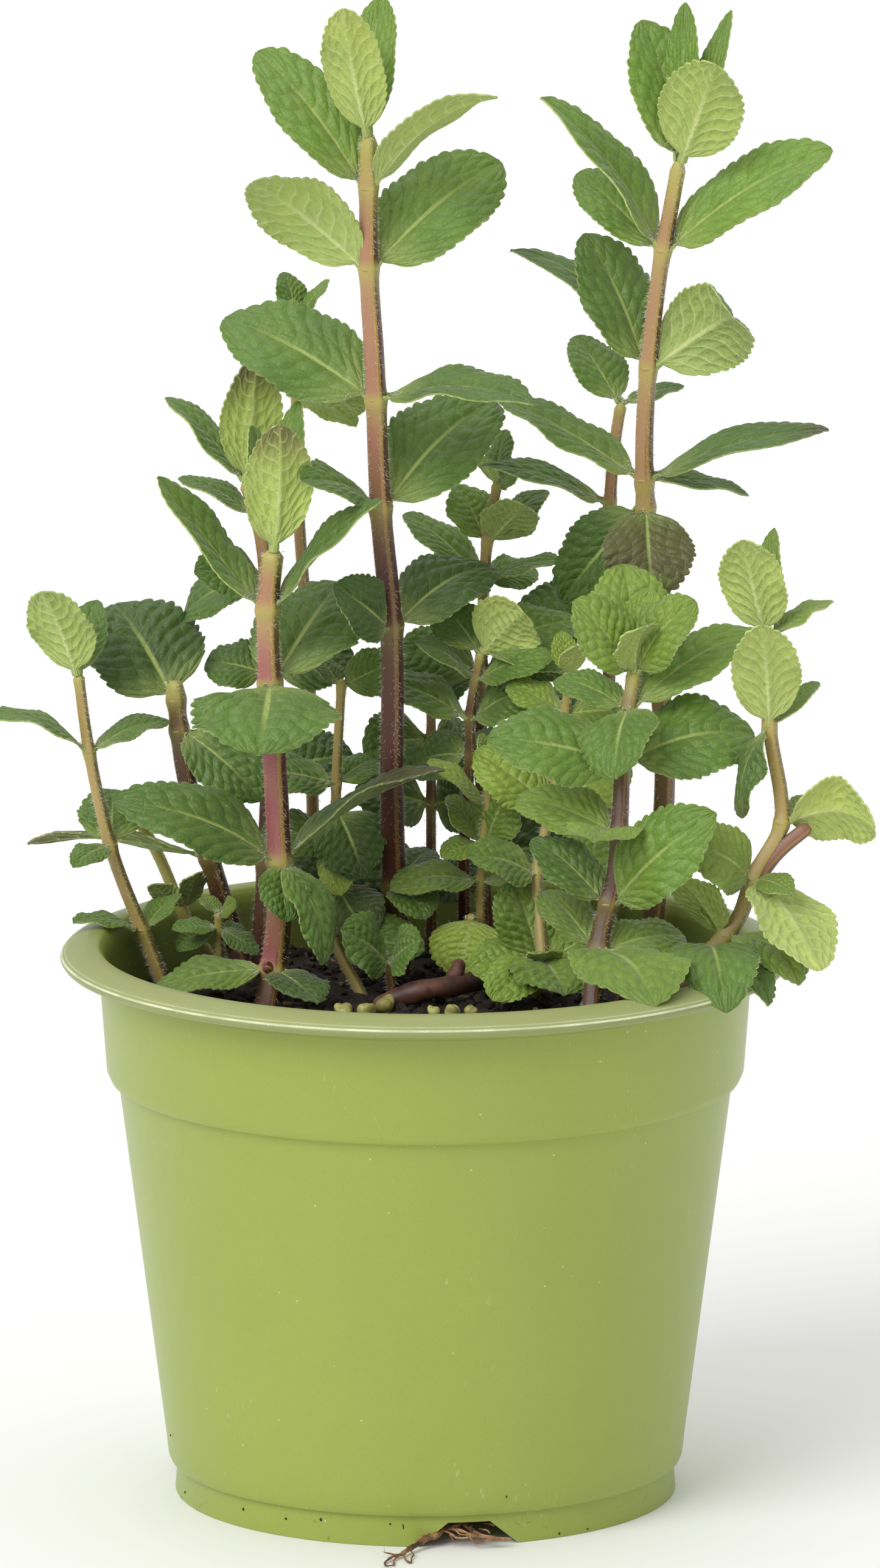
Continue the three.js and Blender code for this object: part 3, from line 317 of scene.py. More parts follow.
PALE_ROOTS = [
    ([(5.5, -35, 4.4), (6.8, -40, 3.1), (7.9, -42, 2.6), (9.4, -44, 2.2), (10.9, -45, 2), (12.6, -45.3, 1.8),
      (15.2, -45, 1.5)], (0.36, 0.22)),
    ([(3.1, -42, 2.5), (4.6, -43, 2.8), (6.6, -43.5, 2.6), (7.7, -44, 2.2), (8.9, -44.5, 1.9),
      (10.9, -45.4, 1.9), (13.2, -45.7, 1.5)], (0.3, 0.2)),
    ([(7.7, -44.5, 2.2), (8.3, -45.6, 1.5), (9.4, -46.4, 1.2), (10.7, -45.8, 1.5), (12.6, -45.8, 1.5),
      (14.4, -45.6, 1.3)], (0.2, 0.14)),
    ([(4.2, -44, 2.4), (5.7, -44.8, 1.7), (7.4, -45, 1.8), (8.9, -44.6, 2)], (0.22, 0.16)),
    ([(5.3, -43.5, 2.9), (6.1, -44, 2.2), (7.4, -44, 2), (8.7, -44, 2.1)], (0.18, 0.14)),
    ([(9.4, -42, 2.7), (10.9, -43, 2.6), (11.4, -43.5, 2.2)], (0.15, 0.1)),
    ([(2, -42.8, 2.4), (0.6, -44.6, 2.4), (-1.2, -45.6, 1.6), (-0.4, -46.6, 1.2)], (0.2, 0.14)),
]
# Bits of soil stuck to the pot: bearing, height, size and how long each is.
STUCK_BITS = [(-136.4, 3.3, 0.3, 1), (-123.6, 3.2, 0.26, 1), (-114.5, 3.9, 0.28, 1.3), (-98, 4, 0.2, 1),
              (-163.8, 1.8, 0.3, 1), (-171, 5, 0.26, 1), (-95, 3.6, 0.14, 4), (-166, 12, 0.22, 1),
              (-72, 9, 0.16, 1.4), (-58, 0.7, 0.24, 1), (-50, 0.6, 0.2, 1)]
# A side branch that was cut off close to the stem.
CUT_STUBS = {"front_left": [(-27.2, 5.4, 93.5), (-28, 3.9, 94.1), (-28.7, 3.0, 94.7)]}
STUB_RADII = (1.05, 0.95)
CREEP = SOIL_TOP + GAP + 2.2     # height of the creeping stem's middle
CREEPING = [
    ([(-9, 1.6, CREEP - 4.2), (-5, 0.8, CREEP - 1.4), (0, 0.5, CREEP + 0.2), (5, 3, CREEP + 0.4),
      (11, 11, CREEP)], (2.0, 1.8)),
    ([(4, 3, CREEP), (5.5, 4.6, CREEP + 2.4), (6.2, 6, CREEP + 4.4)], (1.5, 1.3)),
]
BUDS = [(-14.5, -8.1, 1.5), (-10.4, -8.8, 1.7), (-7.3, -3.0, 1.8), (1.5, -7.5, 1.1),
        (5.0, -8.8, 1.5), (7.9, -7.0, 1.2)]     # x, y and radius of pale buds on the soil
# How rosy the light faces are, how dark the lower part is, the share of height where that ends, and
# how much of a fresh straw green the whole stem has.
STEM_TINTS = {"tall_left": (0.75, 0.95, 0.75, 0), "tall_right": (0.15, 0.7, 0.6, 0.1),
              "front_left": (1.0, 0.95, 0.08, 0), "broken_left": (0.5, 1.0, 1.5, 0),
              "thin_left": (0.1, 0.0, 0.5, 0.5), "front_right": (0.1, 1.0, 1.15, 0),
              "far_right": (0.1, 0.2, 0.5, 0.45), "back_left": (0.6, 0.9, 0.8, 0),
              "middle": (0.7, 1.0, 1.1, 0), "middle_back": (0.2, 0.8, 0.8, 0),
              "middle_low": (0.0, 0.0, 0.5, 0.7), "rosette": (0.0, 0.2, 0.5, 0.6),
              "middle_left": (0.2, 0.4, 0.5, 0.6), "cut_yellow": (0.0, 0.0, 0.5, 1.0),
              "tiny_left": (0.0, 0.0, 0.5, 1.0), "thin_back": (0.2, 0.4, 0.8, 0.2)}
PLAIN_TINT = (0.3, 0.8, 0.9, 0)
# A leaf's looks: size of its teeth, curl of its sides, waves, raised fields between the veins, droop,
# sway and twist as shares of its size; fullness, how blunt its tip is, and how purple, pale, dry or dark
# it is. Dark is painted shade on leaves low down or at the back, and on a dying leaf its own dark.
# Reach is where along the leaf the purple starts and is full.
LEAF_LOOK = {"teeth": 0.06, "curl": 0.07, "wave": 0.05, "quilt": 0.034, "droop": 0.03, "sway": 0.03,
             "twist": 0.25, "fullness": 1.03, "tip": (0.48, 0.66), "flush": 0, "reach": (0.6, 0.95),
             "pale": 0, "dry": 0, "dark": 0}
YOUNG_LOOK = {"quilt": 0.024, "wave": 0.03}
# What sets some leaves apart, by their piece, or by their piece and number.
# A dark share is painted shade on leaves low down or at the back; on the dry far-right leaf it is its own
# dark.
LOOKS = {
    ("leaves_front_left_top", 0): {"flush": 0.75, "reach": (0.5, 1.0)},
    ("shoot_back_left_178.4", 0): {"flush": 0.8, "reach": (0.5, 0.95)},
    ("leaves_tall_right_second", 1): {"flush": 0.9, "reach": (0.75, 1.0)},
    ("leaves_tall_right_first", 0): {"flush": 0.7, "reach": (-0.6, 0.7), "pale": 0.3},
    ("leaves_front_left_second", 1): {"flush": 0.6, "reach": (0.35, 0.8)},
    "leaves_tall_left_fifth": {"dark": 0.35},
    ("leaves_front_left_second", 0): {"dark": 0.2},
    "leaves_front_left_third": {"fullness": 1.14},
    "leaves_tall_left_top": {"pale": 0.15},
    "leaves_front_right_top": {"pale": 0.35, "quilt": 0.035},
    "leaves_far_right_top": {"pale": 0.4},
    ("leaves_far_right_fourth", 0): {"pale": 0.5},
    ("leaves_far_right_fourth", 2): {"dark": 0.8, "dry": 0.35, "curl": 0.25, "wave": 0.16},
    "leaves_far_right_third": {"pale": 0.5},
    "leaves_far_right_second": {"pale": 0.5},
    "leaves_far_right_first": {"pale": 0.35},
    "leaves_front_right_first": {"pale": 0.2, "fullness": 1.1},
    "leaves_front_right_third": {"pale": 0.25},
    "leaves_broken_left_third": {"dark": 0.6},
    "leaves_broken_left_second": {"dark": 0.4},
    "leaves_tall_left_first": {"dark": 0.4},
    ("leaves_front_left_first", 0): {"pale": 0.3},
    ("leaves_front_left_first", 1): {"dark": 0.8},
    "leaves_broken_left_first": {"flush": 0.65, "reach": (0.2, 1.0)},
    "shoot_pale_leaf_100": {"pale": 1.0, "quilt": 0.02, "fullness": 1.2},
    "shoot_thin_back_197": {"pale": 0.6},
    "shoot_thin_back_190.5": {"pale": 0.5},
    "shoot_rosette_94.5": {"pale": 0.25, "quilt": 0.04, "fullness": 1.1},
    "shoot_rosette_109": {"pale": 0.1},
    "shoot_rosette_121": {"pale": 0.5},
    "shoot_rosette_138": {"pale": 0.3},
    "shoot_rosette_145.5": {"pale": 0.8},
    "shoot_middle_low_105.9": {"pale": 0.3},
    "shoot_middle_low_112.9": {"pale": 0.4},
    "shoot_middle_low_119.6": {"pale": 0.7},
    "shoot_middle_low_127.6": {"pale": 0.8},
    "shoot_middle_left_118": {"dark": 0.6},
    "shoot_middle_left_104": {"flush": 0.35, "reach": (-1.0, 0.1), "dark": 0.1},
    ("shoot_middle_left_112.5", 0): {"pale": 1.0, "flush": 0.15, "reach": (-0.6, 0.8)},
    ("shoot_middle_left_112.5", 1): {"dark": 0.6},
    ("shoot_middle_147.3", 0): {"pale": 0.5},
    "shoot_back_middle_138": {"dark": 0.4, "fullness": 1.15},
    "shoot_back_middle_128": {"dark": 0.6, "fullness": 1.2},
    "shoot_back_middle_116": {"dark": 0.7, "fullness": 1.2},
    "shoot_back_middle_103": {"dark": 0.8},
    "shoot_middle_back_141": {"dark": 0.4},
    "shoot_middle_back_122": {"dark": 0.6},
    "shoot_middle_back_106": {"dark": 0.7},
    "shoot_behind_right_131": {"dark": 0.5},
    "shoot_behind_right_114": {"dark": 0.6},
    "shoot_back_left_142": {"dark": 0.3},
    "shoot_back_left_124": {"dark": 0.5},
    "shoot_back_left_107": {"dark": 0.6},
    "shoot_tiny_left_101": {"pale": 0.5},
}
YOUNG_TOPS = ("tall_left", "tall_right", "front_left", "front_right", "far_right")

# The camera that the pot's ellipses gave.
CAMERA_AIM = (2.6, 0, 128.3)
CAMERA_DISTANCE, CAMERA_ELEVATION, CAMERA_LENS = 2900, 11.7, 374.84
TOP_SHARE = 0.45                 # the top light's strength beside the key light's

# Fibrous finishes: name, dark colour, light colour, roughness, streaks per metre.
FIBRES = (("root_skin", (70, 46, 32), (160, 118, 80), 0.6, 260),
          ("pale_root_skin", (112, 72, 46), (190, 148, 104), 0.6, 300),
          ("bark", (66, 40, 36), (112, 72, 60), 0.5, 130),
          ("wood_bits", (60, 44, 32), (132, 102, 74), 0.8, 600),
          ("bud_skin", (140, 128, 70), (196, 200, 116), 0.5, 160))


# ---- small tools for materials

class Wire:
    """A value in a shader tree. Sums, products and powers of wires add the nodes that work them out."""

    def __init__(self, tree, socket):
        self.tree = tree
        self.socket = socket

    def maths(self, operation, *others, clamp=False):
        inputs = dict(enumerate((self, *others)))
        return put(self.tree, "ShaderNodeMath", inputs, operation=operation, use_clamp=clamp)["Value"]

    def __add__(self, other):
        return self.maths("ADD", other)

    def __sub__(self, other):
        return self.maths("SUBTRACT", other)

    def __rsub__(self, other):
        return self * -1 + other

    def __mul__(self, other):
        return self.maths("MULTIPLY", other)

    def __pow__(self, other):
        return self.maths("POWER", other)

    def __lt__(self, other):
        return self.maths("LESS_THAN", other)

    def __abs__(self):
        return self.maths("ABSOLUTE")

    __radd__, __rmul__ = __add__, __mul__

    def ease(self, low, high, out_low=0, out_high=1):
        """A smooth step from out_low to out_high while the value runs from low to high."""
        inputs = {"Value": self, "From Min": low, "From Max": high, "To Min": out_low, "To Max": out_high}
        return put(self.tree, "ShaderNodeMapRange", inputs, interpolation_type="SMOOTHSTEP")["Result"]

    def band(self, low, high, edge):
        """One between two values, zero outside them."""
        return self.ease(low - edge, low) * self.ease(high + edge, high)


def plug(tree, socket, value):
    """Feeds a socket with a wire, a number or a colour."""
    if isinstance(value, Wire):
        tree.links.new(value.socket, socket)
    else:
        socket.default_value = value


def put(tree, kind, inputs=None, **settings):
    """Adds a shader node and returns its outputs by name."""
    made = tree.nodes.new(kind)
    for key, value in settings.items():
        setattr(made, key, value)
    for key, value in (inputs or {}).items():
        plug(tree, made.inputs[key], value)
    return {each.name: Wire(tree, each) for each in made.outputs}


def sine(value):
    return value.maths("SINE") if isinstance(value, Wire) else np.sin(value)


def floor(value):
    return value.maths("FLOOR") if isinstance(value, Wire) else np.floor(value)


def most(first, second, clamp=False):
    return first.maths("MAXIMUM", second, clamp=clamp)


def mixed(share, first, second, blend="MIX"):
    """The first colour with a share of the second."""
    tree = next(each.tree for each in (share, first, second) if isinstance(each, Wire))
    made = tree.nodes.new("ShaderNodeMix")
    made.data_type = "RGBA"
    made.blend_type = blend
    inputs = {each.identifier: each for each in made.inputs}
    plug(tree, inputs["Factor_Float"], share)
    for key, value in (("A_Color", first), ("B_Color", second)):
        plug(tree, inputs[key], value if isinstance(value, Wire) else (*value, 1))
    return Wire(tree, next(each for each in made.outputs if each.identifier == "Result_Color"))


def painted(base, *coats):
    """A colour with others laid over it in turn, each as (share, colour)."""
    for share, paint in coats:
        base = mixed(share, base, paint)
    return base


def scaled(base, *factors):
    """A colour with its red, green and blue multiplied."""
    return mixed(1, base, factors, "MULTIPLY")


def noise(place, scale, detail=2, rough=0.5):
    inputs = {"Vector": place, "Scale": scale, "Detail": detail, "Roughness": rough}
    return put(place.tree, "ShaderNodeTexNoise", inputs)["Fac"]


def colour(*screen):
    """A screen colour, 0 to 255, as the linear values that shaders use."""
    return tuple(c / 12.92 if c <= 0.04045 else ((c + 0.055) / 1.055) ** 2.4
                 for c in (value / 255 for value in screen))


def darker(tint, share):
    return tuple(value * share for value in tint)


def traits(tree, *names):
    """The numbers that mark() stored on the points."""
    return [put(tree, "ShaderNodeAttribute", attribute_name=name)["Fac"] for name in names]


def object_place(tree):
    return put(tree, "ShaderNodeTexCoord")["Object"]


def stretched(place, **settings):
    """A place that is turned or scaled, so that a pattern on it runs one way."""
    return put(place.tree, "ShaderNodeMapping", {"Vector": place, **settings})["Vector"]


def new_material(name, **constants):
    """An empty material; returns its shader and the place of its points."""
    material = bpy.data.materials.new(name)
    material.use_nodes = True
    shader = material.node_tree.nodes["Principled BSDF"]
    for key, value in constants.items():
        shader.inputs[key.replace("_", " ")].default_value = value
    MATERIALS[name] = material
    return shader, object_place(material.node_tree)


def feed(shader, title, wire):
    plug(wire.tree, shader.inputs[title], wire)


def bump(shader, height, strength, distance):
    made = put(height.tree, "ShaderNodeBump", {"Height": height, "Strength": strength, "Distance": distance})
    feed(shader, "Normal", made["Normal"])


def new_group(name, inputs, outputs):
    """An empty node group; returns its inputs and a function that closes it with its outputs' wires."""
    group = bpy.data.node_groups.new(name, "ShaderNodeTree")
    for title, kind in inputs.items():
        group.interface.new_socket(name=title, in_out="INPUT", socket_type=kind)
    for title in outputs:
        group.interface.new_socket(name=title, in_out="OUTPUT", socket_type=NUMBER)
    source = group.nodes.new("NodeGroupInput")
    sink = group.nodes.new("NodeGroupOutput")

    def close(*wires):
        for title, wire in zip(outputs, wires, strict=True):
            plug(group, sink.inputs[title], wire)
        return group
    return {each.name: Wire(group, each) for each in source.outputs}, close


# ---- finishes

def vein_phases(across, blade, tone):
    """Two phases, whole numbers on the side veins and on the small veins that cross between them.

    Takes arrays for the mesh or wires for the finish, so that both follow the same veins.
    """
    side = abs(across)
    start = blade - VEIN_SWEEP * side ** VEIN_CURVE * (1 - 0.4 * blade)
    phase = SIDE_VEINS * start + VEIN_SHIFT * (across < 0)
    phase = phase + WANDER * sine(8 * across + 2 * math.pi * tone)
    row_shift = ROW_SHIFT * sine(12.9 * floor(phase) + 5 * tone)
    crossing = BLOCKS * side + row_shift + WANDER * sine(9 * blade + 20 * tone)
    return phase, crossing


def vein_group():
    """Masks of a mint leaf's veins: the midrib, the side veins that sweep to the margin, and the net."""
    given, close = new_group(
        "leaf_veins", {"Blade": VECTOR, "Place": VECTOR, "Tone": NUMBER, "Vein width": NUMBER},
        ("Midrib", "Side veins", "Crossing", "Net", "Dome", "Along", "Across"))
    place, width = given["Place"], given["Vein width"]
    parts = put(place.tree, "ShaderNodeSeparateXYZ", {"Vector": given["Blade"]})
    across = parts["X"] * 2 - 1
    side = abs(across)
    blade = (parts["Y"] - PETIOLE).maths("DIVIDE", 1 - PETIOLE, clamp=True)
    phase, crossing = vein_phases(across, blade, given["Tone"])
    swell, block = (abs(sine(each * math.pi)) for each in (phase, crossing))
    cells, domes = [], []
    for scale in NET_SCALES:
        edge = put(place.tree, "ShaderNodeTexVoronoi", {"Vector": place, "Scale": scale},
                   feature="DISTANCE_TO_EDGE")["Distance"]
        cells.append(edge.ease(0.2, 0))
        domes.append(edge.maths("MULTIPLY", 2, clamp=True) ** 0.6)
    net = most(cells[0], cells[1] * 0.5)
    fine = domes[1] * 0.3 + domes[0]
    coarse = swell ** 0.6 * (block ** 0.6 * 0.85 + 0.15)
    return close(side.ease(0.06, 0.015), swell.ease(width, 0), block.ease(width, 0), net,
                 fine * 0.35 + coarse, blade, side)


def dust_group():
    """Masks of small specks and fine scratches, as on a used plastic pot."""
    given, close = new_group(
        "specks_and_scratches", {"Place": VECTOR, "Speck scale": NUMBER, "Amount": NUMBER},
        ("Specks", "Scratches", "Cloud"))
    place = given["Place"]
    grain = put(place.tree, "ShaderNodeTexVoronoi", {"Vector": place, "Scale": given["Speck scale"]})
    lot = put(place.tree, "ShaderNodeSeparateColor", {"Color": grain["Color"]})["Red"]
    slanted = stretched(place, Rotation=(1.1, 0.7, 0.4), Scale=(1, 1, 0.3))
    patches = noise(place, 60).ease(0.5, 0.7)
    return close(grain["Distance"].ease(0.16, 0.06) * (lot < given["Amount"]),
                 noise(slanted, 1500, 1).ease(0.68, 0.76) * patches, noise(place, 28, 4, 0.6))


def pot_material(settings, dust):
    shader, place = new_material("pot_plastic", IOR=1.46)
    marks = put(place.tree, "ShaderNodeGroup", {"Place": place, "Speck scale": 620, "Amount": 0.035},
                node_tree=dust)
    parts = put(place.tree, "ShaderNodeSeparateXYZ", {"Vector": place})
    height = parts["Z"] * (1 / MM)
    reach = (parts["X"] * parts["X"] + parts["Y"] * parts["Y"]).maths("SQRT") * (1 / MM)
    plain = tuple(settings.plastic_colour)
    rim_low = POT_HEIGHT - RIM_HEIGHT
    on_rim = reach.ease(COLLAR_TOP_RADIUS + 0.4, COLLAR_TOP_RADIUS + 1.2) * height.ease(rim_low - 1, rim_low)
    # Two thin pale lines on the rim's outer edge: a painted highlight, broken up by noise.
    edge_highlight = height.band(POT_HEIGHT - 2, POT_HEIGHT - 1.8, 0.1)
    top_highlight = height.band(POT_HEIGHT - 1.4, POT_HEIGHT - 1.35, 0.08)
    reflecting = noise(place, 160, 3).ease(0.35, 0.6) * 0.4 + 0.5
    # A dark line just under the rim: painted shadow that the rim casts on the collar.
    crease_shade = height.band(rim_low - 1.9, rim_low - 1.75, 0.12)
    # Darker band on the rim's outer underside: painted shade.
    rim_underside_shade = height.band(rim_low + 0.3, rim_low + 1, 0.2) * on_rim
    # Darker inner wall between the soil and the rim: painted shade.
    inner_wall_shade = reach.ease(COLLAR_BOTTOM_RADIUS + 0.4, COLLAR_BOTTOM_RADIUS) * height.band(
        SOIL_TOP - 2, POT_HEIGHT - 2.4, 1.5)
    soiled = height.ease(9, 1) * noise(place, 260, 5, 0.7).ease(0.62, 0.7)
    tinted = painted(
        mixed(marks["Cloud"], darker(plain, 0.86), plain),
        # The greyer olive of the rim's top is a painted reflection of the leaves above it.
        (on_rim * 0.8, settings.rim_reflection_colour),
        # Painted highlight along the rim's edge.
        ((top_highlight * 0.45 + edge_highlight) * on_rim * reflecting, colour(226, 232, 202)),
        (crease_shade * 0.3, colour(110, 124, 66)),
        (rim_underside_shade * 0.3, colour(112, 122, 74)),
        (inner_wall_shade * 0.6, colour(92, 106, 60)),
        (noise(place, 2600, 1).ease(0.35, 0.65, 0, 0.16), darker(plain, 0.7)),
        (soiled * 0.45, colour(58, 46, 34)),
        (marks["Scratches"] * 0.3, colour(205, 214, 160)),
        (marks["Specks"] * 0.7, colour(206, 210, 166)))
    feed(shader, "Base Color", tinted)
    feed(shader, "Roughness", marks["Cloud"] * 0.12 + 0.29 + marks["Scratches"] * 0.2 + soiled * 0.3)
    waves = noise(stretched(place, Scale=(1, 1, 0.35)), 45, 1)
    relief = noise(place, 1500) * 0.2 + waves - marks["Scratches"] * 0.1
    bump(shader, relief, 0.25, 0.0004)


def soil_material(settings):
    shader, place = new_material("soil_mix", Roughness=0.92)
    grains = noise(place, 420, 6, 0.7)
    bits = put(place.tree, "ShaderNodeTexVoronoi", {"Vector": place, "Scale": 700})
    lot = put(place.tree, "ShaderNodeSeparateColor", {"Color": bits["Color"]})["Green"]
    flecks = (lot < 0.08) * bits["Distance"].ease(0.4, 0.2)
    tinted = mixed(grains.ease(0.35, 0.7), settings.dark_colour, settings.crumb_colour)
    feed(shader, "Base Color", painted(tinted, (flecks * 0.7, colour(140, 112, 78))))
    bump(shader, grains + noise(place, 1600, 3, 0.7), 0.9, 0.0009)


def fibre_material(name, dark, light, roughness, scale):
    """Roots, woody bits and the creeping stem: streaks of two colours, with dark spots."""
    shader, place = new_material(name, Roughness=roughness)
    streaks = noise(place, scale, 5, 0.65)
    spots = noise(place, scale * 2.7).ease(0.58, 0.7)
    tinted = mixed(streaks.ease(0.34, 0.66), dark, light)
    feed(shader, "Base Color", painted(tinted, (spots * 0.5, darker(dark, 0.35))))
    bump(shader, streaks, 0.6, 0.0003)


def stem_material(settings):
    shader, place = new_material("stem_skin", Roughness=0.42)
    facing, corner, knot, growth, tint, dark, depth, newness = traits(
        place.tree, "facing", "corner", "knot", "growth", "tint", "dark", "depth", "fresh")
    streaks = noise(stretched(place, Scale=(1, 1, 0.07)), 900, 3, 0.6)
    patches = noise(place, 70)
    side = facing + (patches * 0.3 - 0.15)
    dusk = dark * depth.ease(0, 1)
    rosy = tint * patches.ease(0.35, 0.65, 0.35, 1)
    edge = corner.ease(0.68, 0.97) * facing.ease(0.2, 0.7)
    knots = knot * (dusk * -0.5 + 0.8)
    fresh = newness * (patches * 0.5 + 0.6)
    green = most(most(knots, growth.ease(0.9, 1, 0, 0.9)), fresh, clamp=True)
    # Faces away from the light turn maroon, also on the old brown skin: partly the stems' own colour, partly
    # painted shade.
    old_skin = mixed(side.ease(0.4, 0.9), settings.brown_colour, settings.maroon_colour)
    tinted = painted(
        mixed(rosy, settings.tan_colour, settings.rose_colour),
        (side.ease(0.74, 0.88), settings.maroon_colour),
        (streaks.ease(0.4, 0.7) * 0.3, settings.tan_colour),
        (dusk, old_skin),
        (edge * (dusk * -0.35 + 0.6), settings.edge_colour),
        (green, settings.green_colour))
    feed(shader, "Base Color", tinted)
    bump(shader, streaks, 0.4, 0.0002)


def leaf_marks(tinted, name, lines, patches, flush, dry, tone, settings):
    """Purple flushes between the veins, dry tips and a thin tinted margin."""
    veins = most(lines["Side veins"], lines["Midrib"])
    purple = flush * ((veins * -0.75 + 1) * patches.ease(0.25, 0.5))
    tinted = painted(tinted, (purple, settings.flush_colour),
                     (dry * lines["Along"].ease(0.7, 1), settings.dry_colour))
    if name == "leaf_margin":
        return painted(tinted, (0.15, settings.pale_vein_colour),
                       (tone.ease(0.6, 1, 0, 0.4), settings.flush_colour))
    return mixed(lines["Across"].ease(0.965, 1) * 0.15, tinted, settings.pale_vein_colour)


def leaf_material(name, settings, veins):
    """One side of the leaves, or their margin: veins, raised fields, and what each leaf's traits say."""
    shader, place = new_material(name, Sheen_Weight=0.22, Sheen_Roughness=0.35)
    upper = name == "leaf_upper"
    age, tone, flush, pale, dry, dark = traits(place.tree, "age", "tone", "flush", "pale", "dry", "dark")
    blade = put(place.tree, "ShaderNodeUVMap", uv_map="blade")["UV"]
    lines = put(place.tree, "ShaderNodeGroup", {
        "Blade": blade, "Place": place, "Tone": tone, "Vein width": 0.22 if upper else 0.3}, node_tree=veins)
    if upper:
        young, old, light = settings.young_colour, settings.old_colour, settings.pale_colour
        vein = settings.vein_colour
    else:
        young, old, light = settings.young_under_colour, settings.old_under_colour, settings.pale_under_colour
        vein = settings.pale_vein_colour
    tinted = mixed(pale, mixed(age, young, old), light)
    patches = noise(place, 90, 3)
    mottle = patches * 0.6 + tone * 0.4
    tinted = mixed(mottle.ease(0.2, 0.85), scaled(tinted, 0.74, 0.77, 0.76), scaled(tinted, 1.3, 1.25, 1.25))
    # Painted shade: the dark trait darkens and blues leaves low down or at the back; on a dying leaf it is
    # its own dark.
    tinted = mixed(dark, tinted, scaled(tinted, 0.6, 0.62, 0.72))
    tinted = mixed(noise(place, 55).ease(0.5, 0.7) * 0.35, tinted, scaled(tinted, 1.35, 1.2, 0.9))
    tinted = mixed(lines["Along"].ease(0.3, 0) * 0.5, tinted, settings.vein_colour)
    crossing = most(lines["Net"] * 0.6, lines["Crossing"])
    if upper:
        # Dark lines along the net and the side veins of the upper side are painted shade in the sunken
        # creases.
        crease_shade = scaled(tinted, 0.66, 0.7, 0.6)
        tinted = painted(tinted, (crossing * 0.6, crease_shade), (lines["Side veins"] * 0.55, crease_shade))
    else:
        tinted = mixed(crossing * 0.35, tinted, vein)
    inner = lines["Across"].ease(0.6, 0, 0, 0.3) if upper else 0.6
    rib = lines["Midrib"] * lines["Along"].ease(0.85, 0.3, 0.1, 0.85)
    tinted = painted(tinted, (lines["Side veins"] * inner, vein), (rib, vein))
    feed(shader, "Base Color", leaf_marks(tinted, name, lines, patches, flush, dry, tone, settings))
    feed(shader, "Roughness", noise(place, 1800) * 0.25 + (0.34 if upper else 0.5))
    bump(shader, noise(place, 2600) * 0.2 + lines["Dome"] * (1 if upper else -1), 0.6, 0.0004)


def hair_material():
    shader, place = new_material("plant_hair", Roughness=0.4)
    feed(shader, "Base Color", mixed(noise(place, 500, 1), colour(205, 208, 196), colour(252, 252, 248)))


def floor_material(settings):
    shader, place = new_material("stage_floor", Roughness=0.7)
    pale = tuple(settings.floor_colour)
    feed(shader, "Base Color", mixed(noise(place, 3), darker(pale, 0.985), pale))


# ---- small tools for shapes

def unit(vector):
    vector = np.asarray(vector, float)
    return vector / np.linalg.norm(vector, axis=-1, keepdims=True)


def smooth(low, high, value):
    share = np.clip((value - low) / (high - low), 0, 1)
    return share * share * (3 - 2 * share)


def clear_selection():
    if bpy.context.mode != "OBJECT":
        bpy.ops.object.mode_set(mode="OBJECT")
    bpy.ops.object.select_all(action="DESELECT")


def activate(*objects):
    clear_selection()
    for each in objects:
        each.select_set(True)
    bpy.context.view_layer.objects.active = objects[0]
    return objects[0]


def added(operator, **settings):
    """Runs an operator that adds a primitive, and puts the primitive's place in its mesh."""
    clear_selection()
    operator(**settings)
    bpy.ops.object.transform_apply(location=True, rotation=True, scale=True)
    return bpy.context.active_object


def pick(piece, kind, wanted):
    """Selects only the edges or faces of a piece that the test wants."""
    activate(piece)
    bpy.ops.object.mode_set(mode="EDIT")
    bpy.ops.mesh.select_mode(type=kind)
    bpy.ops.mesh.select_all(action="DESELECT")
    bpy.ops.object.mode_set(mode="OBJECT")
    for each in piece.data.edges if kind == "EDGE" else piece.data.polygons:
        each.select = wanted(each)


def joined(name, objects):
    whole = activate(*objects)
    if len(objects) > 1:
        bpy.ops.object.join()
    whole.name = name
    whole.data.name = name
    return whole


def applied(piece, kind, **settings):
    activate(piece)
    modifier = piece.modifiers.new(kind.lower(), kind)
    for key, value in settings.items():
        setattr(modifier, key, value)
    bpy.ops.object.modifier_apply(modifier=modifier.name)


def copy_of(original, name):
    twin = original.copy()
    twin.data = original.data.copy()
    twin.name = name
    twin.hide_render = twin.hide_viewport = False
    bpy.context.scene.collection.objects.link(twin)
    return twin


def discard(*objects):
    for each in objects:
        bpy.data.objects.remove(each)


def points_of(piece):
    flat = np.zeros(len(piece.data.vertices) * 3)
    piece.data.vertices.foreach_get("co", flat)
    return flat.reshape(-1, 3)


def move_points(piece, points):
    piece.data.vertices.foreach_set("co", np.ascontiguousarray(points, float).ravel())
    piece.data.update()


def mark(piece, **marks):
    """Stores numbers on the points, which the materials read."""
    count = len(piece.data.vertices)
    for name, values in marks.items():
        layer = piece.data.attributes.get(name) or piece.data.attributes.new(name, "FLOAT", "POINT")
        layer.data.foreach_set("value", np.broadcast_to(np.asarray(values, float), count).copy())


def coat(piece, *names):
    piece.data.materials.clear()
    for name in names:
        piece.data.materials.append(MATERIALS[name])
    return piece


def soften(piece, angle):
    activate(piece)
    bpy.ops.object.shade_smooth_by_angle(angle=math.radians(angle))


def outward(piece):
    """Merges doubles, then turns every face outwards."""
    activate(piece)
    bpy.ops.object.mode_set(mode="EDIT")
    bpy.ops.mesh.select_all(action="SELECT")
    bpy.ops.mesh.remove_doubles(threshold=1e-6)
    bpy.ops.mesh.normals_make_consistent(inside=False)
    bpy.ops.object.mode_set(mode="OBJECT")


def settle(piece, node):
    """The finished piece rides on the body and stands for the node, whose part is hidden."""
    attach(piece, BODY)
    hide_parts(node)


